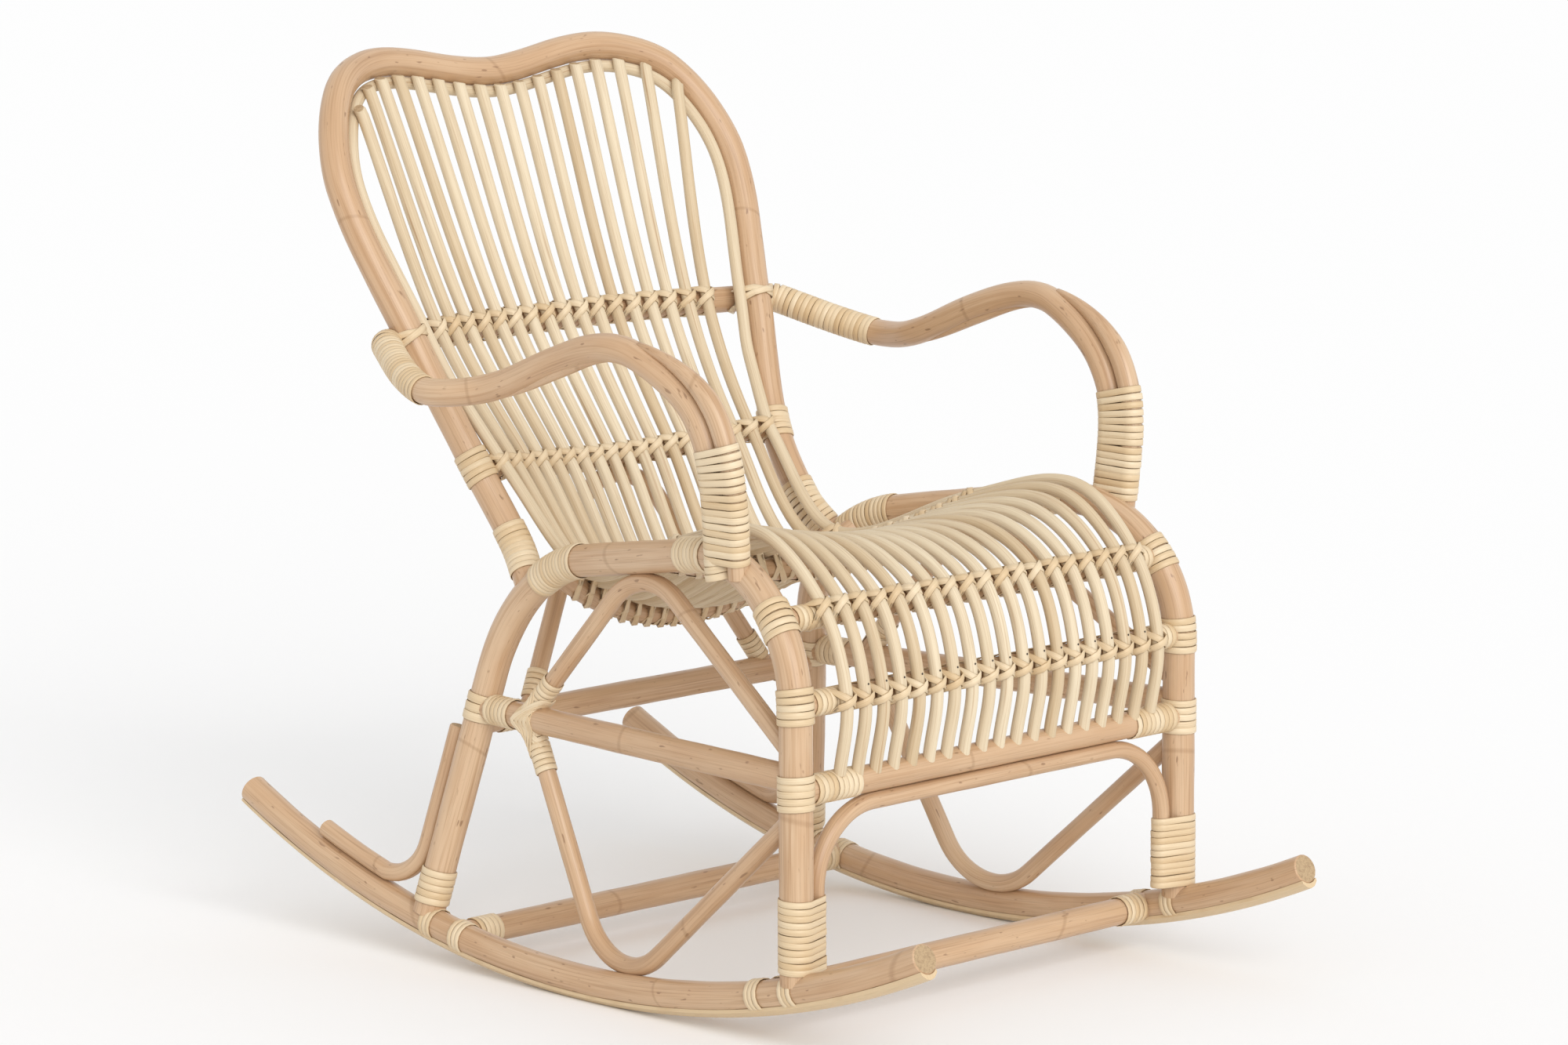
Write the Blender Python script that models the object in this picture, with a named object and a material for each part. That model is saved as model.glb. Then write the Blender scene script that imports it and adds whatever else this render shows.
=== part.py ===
"""Rattan rocking chair, built as separate poles, rods and bindings.

Metres, +Z up. The chair faces -Y and the sitter's left is +X. The origin is on the floor,
midway between the ends of the rockers.
"""
import math

import bmesh
import bpy
from mathutils import Vector

# Fits
GAP = 0.0003
SEAT_BITE = 0.001

# Diameters of poles and rods
FRAME_DIAMETER = 0.032
ROCKER_DIAMETER = 0.029
HOOP_DIAMETER = 0.030
ARM_DIAMETER = 0.027
ARM_SECOND_DIAMETER = 0.021
STRETCHER_DIAMETER = 0.027
BOTTOM_RAIL_DIAMETER = 0.026
RAIL_DIAMETER = 0.022
BRACE_DIAMETER = 0.0185
FRONT_ARCH_DIAMETER = 0.017
HEEL_DIAMETER = 0.018
ROD_DIAMETER = 0.0124
STRIP_WIDTH = 0.020
STRIP_THICKNESS = 0.005
WRAP_THICKNESS = 0.0025

# Rockers: an arc of flats, with one flat level at the lowest place, and its reach each way from there
ROCKER_RADIUS = 1.12
ROCKER_FLAT = 0.090
ROCKER_AHEAD = 0.4626
ROCKER_BEHIND = 0.5086

# Side frames
LEG_SPACING = 0.530
WAIST_SPACING = 0.404
FRONT_LEG_AHEAD = 0.289
REAR_FOOT_BEHIND = 0.230
SEAT_CORNER_HEIGHT = 0.473
SEAT_DEPTH = 0.446
SEAT_DROP = 0.073
LEG_FOOT_RISE = 0.005
FRONT_BEND_RADIUS = 0.130
REAR_BEND_RADIUS = 0.155

# Cross rails of the front, the seat and the back
BOTTOM_RAIL_HEIGHT = 0.245
FRONT_MID_HEIGHT = 0.326
KNEE_HEIGHT = 0.401
SEAT_MID_SETBACK = 0.220
SEAT_MID_SAG = 0.035
SEAT_REAR_SETBACK = 0.385
SEAT_REAR_SAG = 0.070
SEAT_REAR_BOW = 0.034
LOWER_RAIL_RISE = 0.040
LOWER_RAIL_BOW = 0.022
LOWER_RAIL_SAG = 0.012
UPPER_RAIL_RISE = 0.167
UPPER_RAIL_BOW = 0.030
UPPER_RAIL_LIFT = 0.006
SPLICE_REACH = 0.020
SPLICE_TURN = 0.016

# Back hoop, measured from its waist up the raked back
HOOP_FOOT_RISE = 0.008
HOOP_ANKLE_BEHIND = 0.009
HOOP_ANKLE_HEIGHT = 0.418
HOOP_ANKLE_WIDTH = 0.398
WAIST_BEHIND = 0.041
WAIST_HEIGHT = 0.450
HOOP_WAIST_WIDTH = 0.411
HOOP_MID_WIDTH = 0.475
HOOP_SHOULDER_WIDTH = 0.532
HOOP_CORNER_WIDTH = 0.452
HOOP_HUMP_WIDTH = 0.296
SHOULDER_RISE = 0.312
CORNER_RISE = 0.398
HUMP_RISE = 0.423
DIP_RISE = 0.4055
BACK_RAKE = math.radians(25)
CREST_BOW = 0.045

# Arms: half spread, setback from the front legs and height of the points that an arm runs through
ARM_POST_SETBACK = 0.098
ARM_POST_INSET = 0.006
ARM_FOOT_INSET = 0.016
ARM_POST_FOOT_HEIGHT = 0.436
ARM_POST_TOP_HEIGHT = 0.540
ARM_LINE = (
    (0.278, 0.124, 0.5945),
    (0.286, 0.188, 0.636),
    (0.289, 0.232, 0.641),
    (0.287, 0.292, 0.625),
    (0.292, 0.386, 0.589),
    (0.310, 0.452, 0.580),
    (0.299, 0.500, 0.589),
)
SECOND_POLE_LENGTH = 0.245
SECOND_POLE_TAPER = 0.100
SECOND_POLE_TIP_DIAMETER = 0.006

# Rods: 19 across, of which the outer two are the ends of the lining rod, and how far the outer ones stand
# in from the hoop's shoulder and from the end of each rail
ROD_COUNT = 19
ROD_TOP_INSET = 0.023
ROD_UPPER_INSET = 0.0305
ROD_LOWER_INSET = 0.0225
ROD_SEAT_REAR_INSET = 0.0395
ROD_SEAT_MID_INSET = 0.032
ROD_KNEE_INSET = 0.046
ROD_FRONT_INSET = 0.050
ROD_TOP_SINK = -0.004
ROD_END_RISE = 0.010
ROD_END_AHEAD = 0.0065
SEAT_CREST_SETBACK = 0.095
SEAT_CREST_RISE = 0.026
SEAT_REAR_LEAN = math.radians(35)
LINING_GAP = 0.0008
LINING_FREE_RISE = 0.110

# Braces and stretchers
STRETCHER_HEIGHT = 0.257
FRONT_ARCH_RADIUS = 0.075
FOOT_CLEARANCE = 0.010
SIDE_ARCH_RADIUS = 0.076
SIDE_ARCH_TOP_SETBACK = 0.232
SIDE_ARCH_FOOT_SETBACK = 0.404
SIDE_VEE_RADIUS = 0.070
SIDE_VEE_BOTTOM_SETBACK = 0.246
SIDE_VEE_BOTTOM_INSET = 0.010
SIDE_VEE_FOOT_SETBACK = 0.398
SIDE_VEE_FRONT_DROP = 0.034
SIDE_ARCH_FRONT_RISE = 0.020
REAR_ARCH_RADIUS = 0.064
REAR_ARCH_SPREAD = 0.332
REAR_RAIL_DROP = 0.014
HEEL_TOP_HEIGHT = 0.230
HEEL_BEND_RADIUS = 0.045
HEEL_REACH = 0.060
HEEL_LIE = 0.100
HEEL_LIE_STEPS = 3
FRONT_STRETCHER_SETBACK = 0.040
REAR_STRETCHER_AHEAD = 0.048

# Bindings: where each starts along its pole, and how long it is
HOOP_WRAP_START = 0.012
HOOP_WRAP_LENGTH = 0.056
SEAT_WRAP_AHEAD = 0.046
SEAT_WRAP_LENGTH = 0.070
ARM_REAR_WRAP_START = 0.004
ARM_REAR_WRAP_LENGTH = 0.125
ARM_POST_WRAP_START = 0.016
ARM_POST_WRAP_LENGTH = 0.103
FOOT_WRAP_LENGTH = 0.062

# Facets round each kind of tube
POLE_SIDES = 8
BRACE_SIDES = 8
ROD_SIDES = 6
ROD_STEPS = 3
POLE_STEPS = 4
ARM_STEPS = 3
BEND_STEP = math.radians(13)

ACROSS = Vector((1, 0, 0))
UP = Vector((0, 0, 1))
RIGHT = -1
LEFT = 1
SIDE_NAMES = {RIGHT: "right", LEFT: "left"}

POLE_COLOUR = (0.68, 0.45, 0.27, 1)
ROD_COLOUR = (0.79, 0.64, 0.42, 1)
PEEL_COLOUR = (0.82, 0.67, 0.44, 1)

for leftover in list(bpy.data.objects):
    bpy.data.objects.remove(leftover)


def make_material(name, colour, roughness):
    material = bpy.data.materials.new(name)
    material.use_nodes = True
    shader = material.node_tree.nodes["Principled BSDF"]
    shader.inputs["Base Color"].default_value = colour
    shader.inputs["Roughness"].default_value = roughness
    return material


pole_rattan = make_material("pole_rattan", POLE_COLOUR, 0.45)
rod_rattan = make_material("rod_rattan", ROD_COLOUR, 0.55)
peel_rattan = make_material("peel_rattan", PEEL_COLOUR, 0.5)


# Paths are lists of points
def mirrored(path):
    return [Vector((-p.x, p.y, p.z)) for p in path]


def rounded(corners, radii):
    """A path of straight runs whose inner corners are arcs of the given radii."""
    path = [corners[0]]
    for before, corner, after, radius in zip(corners, corners[1:], corners[2:], radii):
        back = (before - corner).normalized()
        ahead = (after - corner).normalized()
        half_turn = (math.pi - back.angle(ahead)) / 2
        centre = corner + (back + ahead).normalized() * (radius / math.cos(half_turn))
        out = -(back + ahead).normalized()
        along = (ahead - back).normalized()
        steps = max(2, math.ceil(2 * half_turn / BEND_STEP))
        for step in range(steps + 1):
            angle = half_turn * (2 * step / steps - 1)
            path.append(centre + (out * math.cos(angle) + along * math.sin(angle)) * radius)
    path.append(corners[-1])
    return path


def smooth(points, steps):
    """A smooth path through the points, with this many steps for each span."""
    ends = [points[0] * 2 - points[1]] + points + [points[-1] * 2 - points[-2]]
    path = []
    for a, b, c, d in zip(ends, ends[1:], ends[2:], ends[3:]):
        span = (c - b).length
        lead = (c - a) * (span / ((b - a).length + span))
        trail = (d - b) * (span / ((d - c).length + span))
        for step in range(steps):
            t = step / steps
            path.append(
                b * (2 * t**3 - 3 * t**2 + 1)
                + lead * (t**3 - 2 * t**2 + t)
                + c * (3 * t**2 - 2 * t**3)
                + trail * (t**3 - t**2)
            )
    path.append(points[-1])
    return path


def tangent_arch(foot_a, foot_b, top, radius):
    """Two straight legs that run into an arc through the top."""
    along = (foot_b - foot_a).normalized()
    rise = top - foot_a
    up = (rise - along * rise.dot(along)).normalized()
    centre = top - up * radius
    path = [foot_a]
    angles = []
    for foot, turn in ((foot_a, 1), (foot_b, -1)):
        reach = foot - centre
        bearing = math.atan2(reach.dot(up), reach.dot(along))
        angles.append(bearing - turn * math.acos(radius / reach.length))
    start, end = angles
    start += 2 * math.pi * (start < 0)
    steps = max(4, math.ceil((start - end) / BEND_STEP))
    for step in range(steps + 1):
        angle = start + (end - start) * step / steps
        path.append(centre + (along * math.cos(angle) + up * math.sin(angle)) * radius)
    path.append(foot_b)
    return path


def span_at(path, axis, value):
    """The first step of a path that reaches a coordinate's value."""
    for a, b in zip(path, path[1:]):
        if (a[axis] - value) * (b[axis] - value) <= 0 and a[axis] != b[axis]:
            return a, b
    raise ValueError("the path doesn't reach %.4f" % value)


def crossing(path, axis, value):
    a, b = span_at(path, axis, value)
    return a.lerp(b, (value - a[axis]) / (b[axis] - a[axis]))


def run(path, start, length):
    """The part of a path that begins at a distance from its first point."""
    part = []
    done = 0.0
    for a, b in zip(path, path[1:]):
        step = (b - a).length
        for mark in (start, start + length):
            if done <= mark < done + step:
                part.append(a.lerp(b, (mark - done) / step))
        done += step
        if start < done < start + length:
            part.append(b)
    return part


def length_of(path):
    return sum((b - a).length for a, b in zip(path, path[1:]))


def distance_along(path, place):
    done = 0.0
    for a, b in zip(path, path[1:]):
        step = (b - a).length
        if abs((place - a).length + (b - place).length - step) < 1e-6:
            return done + (place - a).length
        done += step
    raise ValueError("the place isn't on the path")


def nearest(path, place):
    """The point of a path that lies nearest to a place."""
    points = []
    for a, b in zip(path, path[1:]):
        step = b - a
        share = min(1.0, max(0.0, (place - a).dot(step) / step.length_squared))
        points.append(a + step * share)
    return min(points, key=lambda point: (point - place).length)


# Solids
def frames(path, facing):
    """A direction of travel and a facing direction square to it at each point."""
    result = []
    last = len(path) - 1
    for index, point in enumerate(path):
        travel = Vector((0, 0, 0))
        if index > 0:
            travel += (point - path[index - 1]).normalized()
        if index < last:
            travel += (path[index + 1] - point).normalized()
        travel.normalize()
        facing = (facing - travel * facing.dot(travel)).normalized()
        result.append((travel, facing))
    return result


def ring_points(path, radius, sides, facing):
    """Rings round the points of a path, of one radius or of a list of them."""
    radii = radius if isinstance(radius, list) else [radius] * len(path)
    rings = []
    for point, radius, (travel, out) in zip(path, radii, frames(path, facing)):
        beside = travel.cross(out)
        ring = []
        for side in range(sides):
            angle = 2 * math.pi * side / sides
            ring.append(point + (out * math.cos(angle) + beside * math.sin(angle)) * radius)
        rings.append(ring)
    return rings


def bridge(mesh, ring_a, ring_b):
    count = len(ring_a)
    for side in range(count):
        after = (side + 1) % count
        mesh.faces.new((ring_a[side], ring_a[after], ring_b[after], ring_b[side]))


def finish(name, mesh, material):
    bmesh.ops.recalc_face_normals(mesh, faces=mesh.faces)
    data = bpy.data.meshes.new(name)
    mesh.to_mesh(data)
    mesh.free()
    data.materials.append(material)
    data.shade_smooth()
    data.set_sharp_from_angle(angle=math.radians(50))
    thing = bpy.data.objects.new(name, data)
    bpy.context.scene.collection.objects.link(thing)
    return thing


def loft(name, rings, material):
    """A solid skinned over rings, with flat ends."""
    mesh = bmesh.new()
    loops = [[mesh.verts.new(point) for point in ring] for ring in rings]
    for ring_a, ring_b in zip(loops, loops[1:]):
        bridge(mesh, ring_a, ring_b)
    mesh.faces.new(list(reversed(loops[0])))
    mesh.faces.new(loops[-1])
    return finish(name, mesh, material)


def sleeve(name, inner, outer, material):
    """A hollow solid between two skins of like rings."""
    mesh = bmesh.new()
    skins = [[[mesh.verts.new(point) for point in ring] for ring in rings] for rings in (inner, outer)]
    for loops in skins:
        for ring_a, ring_b in zip(loops, loops[1:]):
            bridge(mesh, ring_a, ring_b)
    for end in (0, -1):
        bridge(mesh, skins[0][end], skins[1][end])
    return finish(name, mesh, material)


tubes = {}
cutters = {}


def tube(name, path, diameter, sides, facing, material=pole_rattan):
    """A round pole or rod along a path, with a corner of its facets on the facing side."""
    tubes[name] = (path, diameter / 2, sides, facing)
    return loft(name, ring_points(path, diameter / 2, sides, facing), material)


def notch(thing, *names):
    """Cuts seats in a piece for its neighbours, with a gap all round them."""
    for name in names:
        if name not in cutters:
            path, radius, sides, facing = tubes[name]
            cutter = loft(name + "_cutter", ring_points(path, radius + GAP, sides, facing), pole_rattan)
            cutter.hide_render = True
            cutter.display_type = "WIRE"
            cutters[name] = cutter
        cut = thing.modifiers.new("seat_" + name, "BOOLEAN")
        cut.operation = "DIFFERENCE"
        cut.solver = "EXACT"
        cut.object = cutters[name]


def wrap(name, pole, start, length):
    """A binding round one pole, on a stretch of it, with the pole's own facets."""
    path, radius, sides, facing = tubes[pole]
    done = 0.0
    for (a, b), (travel, out) in zip(zip(path, path[1:]), frames(path, facing)):
        if done <= start:
            facing = out
        done += (b - a).length
    part = run(path, start, length)
    inner = ring_points(part, radius + GAP, sides, facing)
    outer = ring_points(part, radius + GAP + WRAP_THICKNESS, sides, facing)
    return sleeve(name, inner, outer, peel_rattan)


def wrap_pair(name, path_a, path_b, radius_a, radius_b, facing):
    """A binding round two poles that run side by side."""
    sides = 2 * POLE_SIDES
    clear = 1 / math.cos(math.pi / sides)
    skins = []
    for offset in (GAP, GAP + WRAP_THICKNESS):
        rings = []
        for a, b, (travel, out) in zip(path_a, path_b, frames(path_a, facing)):
            beside = travel.cross(out)
            ring = []
            for side in range(sides):
                angle = 2 * math.pi * side / sides
                way = out * math.cos(angle) + beside * math.sin(angle)
                pole_a = a + way * ((radius_a + offset) * clear)
                pole_b = b + way * ((radius_b + offset) * clear)
                ring.append(max(pole_a, pole_b, key=way.dot))
            rings.append(ring)
        skins.append(rings)
    return sleeve(name, skins[0], skins[1], peel_rattan)


frame_radius = FRAME_DIAMETER / 2
rocker_radius = ROCKER_DIAMETER / 2
hoop_radius = HOOP_DIAMETER / 2
arm_radius = ARM_DIAMETER / 2
second_radius = ARM_SECOND_DIAMETER / 2
bottom_rail_radius = BOTTOM_RAIL_DIAMETER / 2
rail_radius = RAIL_DIAMETER / 2
brace_radius = BRACE_DIAMETER / 2
front_arch_radius = FRONT_ARCH_DIAMETER / 2
heel_radius = HEEL_DIAMETER / 2
rod_radius = ROD_DIAMETER / 2
half_legs = LEG_SPACING / 2

# The rockers' arc: its centre lies above the lowest flat, and the ends reach as far each way
strip_inner_radius = ROCKER_RADIUS + rocker_radius + GAP
strip_outer_radius = strip_inner_radius + STRIP_THICKNESS
flat_angle = ROCKER_FLAT / ROCKER_RADIUS
low_y = (ROCKER_AHEAD - ROCKER_BEHIND) / 2
arc_height = strip_outer_radius * math.cos(flat_angle / 2)


def flats_to(reach):
    """Angles where the flats meet, from the lowest place to one end."""
    end = math.asin(reach / strip_outer_radius)
    meetings = round(end / flat_angle - 0.5)
    return [(meeting + 0.5) * flat_angle for meeting in range(meetings)] + [end]


rocker_angles = [-angle for angle in reversed(flats_to(ROCKER_AHEAD))] + flats_to(ROCKER_BEHIND)


def arc_point(x, angle, radius):
    return Vector((x, low_y + radius * math.sin(angle), arc_height - radius * math.cos(angle)))


def arc_height_at(y, radius):
    return arc_height - math.sqrt(radius**2 - (y - low_y) ** 2)


front_y = low_y - FRONT_LEG_AHEAD
rear_foot_y = low_y + REAR_FOOT_BEHIND
rear_corner_y = front_y + SEAT_DEPTH


def build_rocker(side):
    name = "rocker_" + SIDE_NAMES[side]
    x = side * half_legs
    tube(name, [arc_point(x, a, ROCKER_RADIUS) for a in rocker_angles], ROCKER_DIAMETER, POLE_SIDES, ACROSS)
    rings = []
    for angle in rocker_angles:
        ring = []
        for edge, radius in (
            (-1, strip_inner_radius),
            (1, strip_inner_radius),
            (1, strip_outer_radius),
            (-1, strip_outer_radius),
        ):
            ring.append(arc_point(x + edge * STRIP_WIDTH / 2, angle, radius))
        rings.append(ring)
    loft("rocker_strip_" + SIDE_NAMES[side], rings, peel_rattan)


def frame_path(side):
    x = side * half_legs
    return rounded(
        [
            Vector((x, front_y, arc_height_at(front_y, ROCKER_RADIUS) + LEG_FOOT_RISE)),
            Vector((x, front_y, SEAT_CORNER_HEIGHT)),
            Vector((side * WAIST_SPACING / 2, rear_corner_y, SEAT_CORNER_HEIGHT - SEAT_DROP)),
            Vector((x, rear_foot_y, arc_height_at(rear_foot_y, ROCKER_RADIUS) + LEG_FOOT_RISE)),
        ],
        [FRONT_BEND_RADIUS, REAR_BEND_RADIUS],
    )


frame_paths = {side: frame_path(side) for side in (RIGHT, LEFT)}
left_frame = frame_paths[LEFT]
left_frame_from_rear = list(reversed(left_frame))


def build_side_frame(side):
    frame = tube("side_frame_" + SIDE_NAMES[side], frame_paths[side], FRAME_DIAMETER, POLE_SIDES, ACROSS)
    notch(frame, "rocker_" + SIDE_NAMES[side])


# The hoop runs from its right foot, over the back, to its left foot
def back_y(height):
    return rear_corner_y + WAIST_BEHIND + math.tan(BACK_RAKE) * (height - WAIST_HEIGHT)


def hoop_point(width, rise):
    height = WAIST_HEIGHT + rise
    bow = CREST_BOW * (1 - (width / HOOP_SHOULDER_WIDTH) ** 2) * (rise / HUMP_RISE) ** 4
    return Vector((width / 2, back_y(height) + bow, height))


hoop_ankle = Vector((HOOP_ANKLE_WIDTH / 2, rear_corner_y + HOOP_ANKLE_BEHIND, HOOP_ANKLE_HEIGHT))
hoop_seat = nearest(left_frame, hoop_ankle)
hoop_foot = hoop_seat + (hoop_ankle - hoop_seat).normalized() * HOOP_FOOT_RISE
left_hoop = [
    hoop_foot,
    hoop_ankle,
    hoop_point(HOOP_WAIST_WIDTH, LOWER_RAIL_RISE),
    hoop_point(HOOP_MID_WIDTH, UPPER_RAIL_RISE),
    hoop_point(HOOP_SHOULDER_WIDTH, SHOULDER_RISE),
    hoop_point(HOOP_CORNER_WIDTH, CORNER_RISE),
    hoop_point(HOOP_HUMP_WIDTH, HUMP_RISE),
    hoop_point(0, DIP_RISE),
]
hoop_path = smooth(mirrored(left_hoop)[:-1] + list(reversed(left_hoop)), POLE_STEPS)
left_hoop_path = list(reversed(hoop_path))[: len(hoop_path) // 2 + 1]
back_front = Vector((0, -math.cos(BACK_RAKE), math.sin(BACK_RAKE)))


def build_hoop():
    hoop = tube("back_hoop", hoop_path, HOOP_DIAMETER, POLE_SIDES, back_front)
    notch(hoop, "side_frame_right", "side_frame_left")


# Rods cross each rail at even places. A rail is given by its left end, its bow at the middle, how far in
# from its end the rods begin, the side on which they lie, and its radius.
def rod_share(rod):
    return 2 * rod / (ROD_COUNT - 1) - 1


class Rail:
    def __init__(self, end, bow, inset, side, radius):
        self.end = end
        self.bow = bow
        self.half_spread = end.x - inset
        self.side = side.normalized()
        self.radius = radius

    def place(self, x):
        share = 1 - (x / self.end.x) ** 2
        return Vector((x, self.end.y, self.end.z)) + self.bow * share

    def path(self):
        crossings = [self.place(self.half_spread * rod_share(rod)) for rod in range(ROD_COUNT)]
        if self.bow.length == 0:
            crossings = []
        return [self.place(-self.end.x)] + crossings + [self.place(self.end.x)]

    def rod_place(self, rod):
        x = self.half_spread * rod_share(rod)
        slope = self.bow.dot(self.side) * 2 * x / self.end.x**2
        reach = (self.radius + rod_radius + GAP) * math.sqrt(1 + slope**2)
        return self.place(x) + self.side * reach


def frame_normal(axis, value):
    """The way off the side frames, in their own plane, where they reach a coordinate's value."""
    a, b = span_at(left_frame, axis, value)
    return Vector((0, a.z - b.z, b.y - a.y))


seat_mid_y = front_y + SEAT_MID_SETBACK
bottom_rail_end = crossing(left_frame, 2, BOTTOM_RAIL_HEIGHT)
front_mid_end = crossing(left_frame, 2, FRONT_MID_HEIGHT)
knee_end = crossing(left_frame, 2, KNEE_HEIGHT)
seat_mid_end = crossing(left_frame, 1, seat_mid_y)
seat_rear_end = crossing(left_frame, 1, front_y + SEAT_REAR_SETBACK)
lower_end = crossing(left_hoop_path, 2, WAIST_HEIGHT + LOWER_RAIL_RISE)
hoop_at_arm = crossing(left_hoop_path, 2, WAIST_HEIGHT + UPPER_RAIL_RISE)
upper_end = hoop_at_arm - back_front * (hoop_radius + arm_radius + GAP - SEAT_BITE) + UP * UPPER_RAIL_LIFT
straight = Vector((0, 0, 0))
rear_lean = Vector((0, -math.sin(SEAT_REAR_LEAN), math.cos(SEAT_REAR_LEAN)))

rails = {
    "front_mid_rail": Rail(
        front_mid_end, straight, ROD_FRONT_INSET, frame_normal(2, FRONT_MID_HEIGHT), rail_radius
    ),
    "front_knee_rail": Rail(
        knee_end, straight, ROD_KNEE_INSET, frame_normal(2, KNEE_HEIGHT), rail_radius
    ),
    "seat_mid_rail": Rail(
        seat_mid_end,
        Vector((0, 0, -SEAT_MID_SAG)),
        ROD_SEAT_MID_INSET,
        frame_normal(1, seat_mid_y),
        rail_radius,
    ),
    "seat_rear_rail": Rail(
        seat_rear_end,
        Vector((0, SEAT_REAR_BOW, -SEAT_REAR_SAG)),
        ROD_SEAT_REAR_INSET,
        rear_lean,
        rail_radius,
    ),
    "lower_back_rail": Rail(
        lower_end, Vector((0, LOWER_RAIL_BOW, -LOWER_RAIL_SAG)), ROD_LOWER_INSET, back_front, rail_radius
    ),
    "upper_back_rail": Rail(
        upper_end, Vector((0, UPPER_RAIL_BOW, 0)), ROD_UPPER_INSET, back_front, arm_radius
    ),
}
splice = upper_end + Vector((SPLICE_REACH, -SPLICE_TURN, 0))


def build_rails():
    for name, rail in rails.items():
        path = rail.path()
        carriers = ("side_frame_right", "side_frame_left")
        if name == "upper_back_rail":
            path = mirrored([splice]) + path + [splice]
        if "back" in name:
            carriers = ("back_hoop",)
        thing = tube(name, path, 2 * rail.radius, BRACE_SIDES, rail.side)
        notch(thing, *carriers)
    ends = [Vector((-bottom_rail_end.x, bottom_rail_end.y, bottom_rail_end.z)), bottom_rail_end]
    bottom = tube("front_bottom_rail", ends, BOTTOM_RAIL_DIAMETER, POLE_SIDES, UP)
    notch(bottom, "side_frame_right", "side_frame_left")


# The lining lies inside the hoop, square to it and in the plane of the back
def lining_place(index):
    travel = (hoop_path[index + 1] - hoop_path[index - 1]).normalized()
    inward = travel.cross(back_front).normalized()
    return hoop_path[index] + inward * (hoop_radius + rod_radius + LINING_GAP)


lining_reach = [
    index
    for index in range(1, len(hoop_path) - 1)
    if hoop_path[index].z > WAIST_HEIGHT + LINING_FREE_RISE
]
lining_top = [lining_place(index) for index in lining_reach]
lining_crest = [point for point in lining_top if point.z > WAIST_HEIGHT + SHOULDER_RISE]


def seat_points(rod):
    """Where a rod touches the rails, from the lower back rail to its front end."""
    knee = rails["front_knee_rail"].rod_place(rod)
    mid = rails["seat_mid_rail"].rod_place(rod)
    crest = Vector((knee.x, front_y + SEAT_CREST_SETBACK, mid.z + SEAT_CREST_RISE))
    front = rails["front_mid_rail"].rod_place(rod)
    end = Vector((front.x, front_y - ROD_END_AHEAD, BOTTOM_RAIL_HEIGHT + ROD_END_RISE))
    return [
        rails["lower_back_rail"].rod_place(rod),
        rails["seat_rear_rail"].rod_place(rod),
        mid,
        crest,
        knee,
        front,
        end,
    ]


def build_spindle(rod):
    name = "spindle_%02d" % rod
    top_x = (HOOP_SHOULDER_WIDTH / 2 - ROD_TOP_INSET) * rod_share(rod)
    lining = crossing(lining_crest, 0, top_x)
    upper = rails["upper_back_rail"].rod_place(rod)
    touch = lining + back_front * (2 * rod_radius + GAP)
    outward = (nearest(hoop_path, lining) - lining).normalized()
    top = touch + outward * (rod_radius + LINING_GAP + ROD_TOP_SINK)
    path = [top] + smooth([touch, upper] + seat_points(rod), ROD_STEPS)
    spindle = tube(name, path, ROD_DIAMETER, ROD_SIDES, back_front, rod_rattan)
    notch(spindle, "back_hoop", "front_bottom_rail")


def build_lining():
    right = list(reversed(seat_points(0)))
    left = seat_points(ROD_COUNT - 1)
    path = smooth(right, ROD_STEPS) + lining_top + smooth(left, ROD_STEPS)
    lining = tube("back_lining_rod", path, ROD_DIAMETER, ROD_SIDES, back_front, rod_rattan)
    notch(lining, "front_bottom_rail")


# Arms: each post stands beside its seat rail, and the far end meets the upper back rail behind the hoop
post_seat = crossing(left_frame, 1, front_y + ARM_POST_SETBACK)
post_x = post_seat.x + frame_radius + arm_radius + GAP
splice_way = (splice - upper_end).normalized()
arm_start = splice + splice_way * GAP
left_arm = smooth(
    [
        Vector((post_x - ARM_FOOT_INSET, post_seat.y, ARM_POST_FOOT_HEIGHT)),
        Vector((post_x - ARM_POST_INSET, post_seat.y, ARM_POST_TOP_HEIGHT)),
    ]
    + [Vector((x, front_y + setback, height)) for x, setback, height in ARM_LINE]
    + [arm_start + splice_way * arm_radius],
    ARM_STEPS,
) + [arm_start]


def ahead_of(path, distances):
    """A path moved to the front and outer side of an arm's bends."""
    moved = []
    for point, distance, (travel, out) in zip(path, distances, frames(path, ACROSS)):
        moved.append(point + out.cross(travel) * distance)
    return moved


def tapered(path):
    """Radii of a second pole, which narrows towards its tip."""
    tip = SECOND_POLE_TIP_DIAMETER / 2
    shares = [min(1.0, length_of(path[index:]) / SECOND_POLE_TAPER) for index in range(len(path))]
    return [tip + (second_radius - tip) * share for share in shares]


second_base = run(left_arm, 0, SECOND_POLE_LENGTH)
second_radii = tapered(second_base)
left_second = ahead_of(second_base, [arm_radius + radius + GAP for radius in second_radii])


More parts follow.
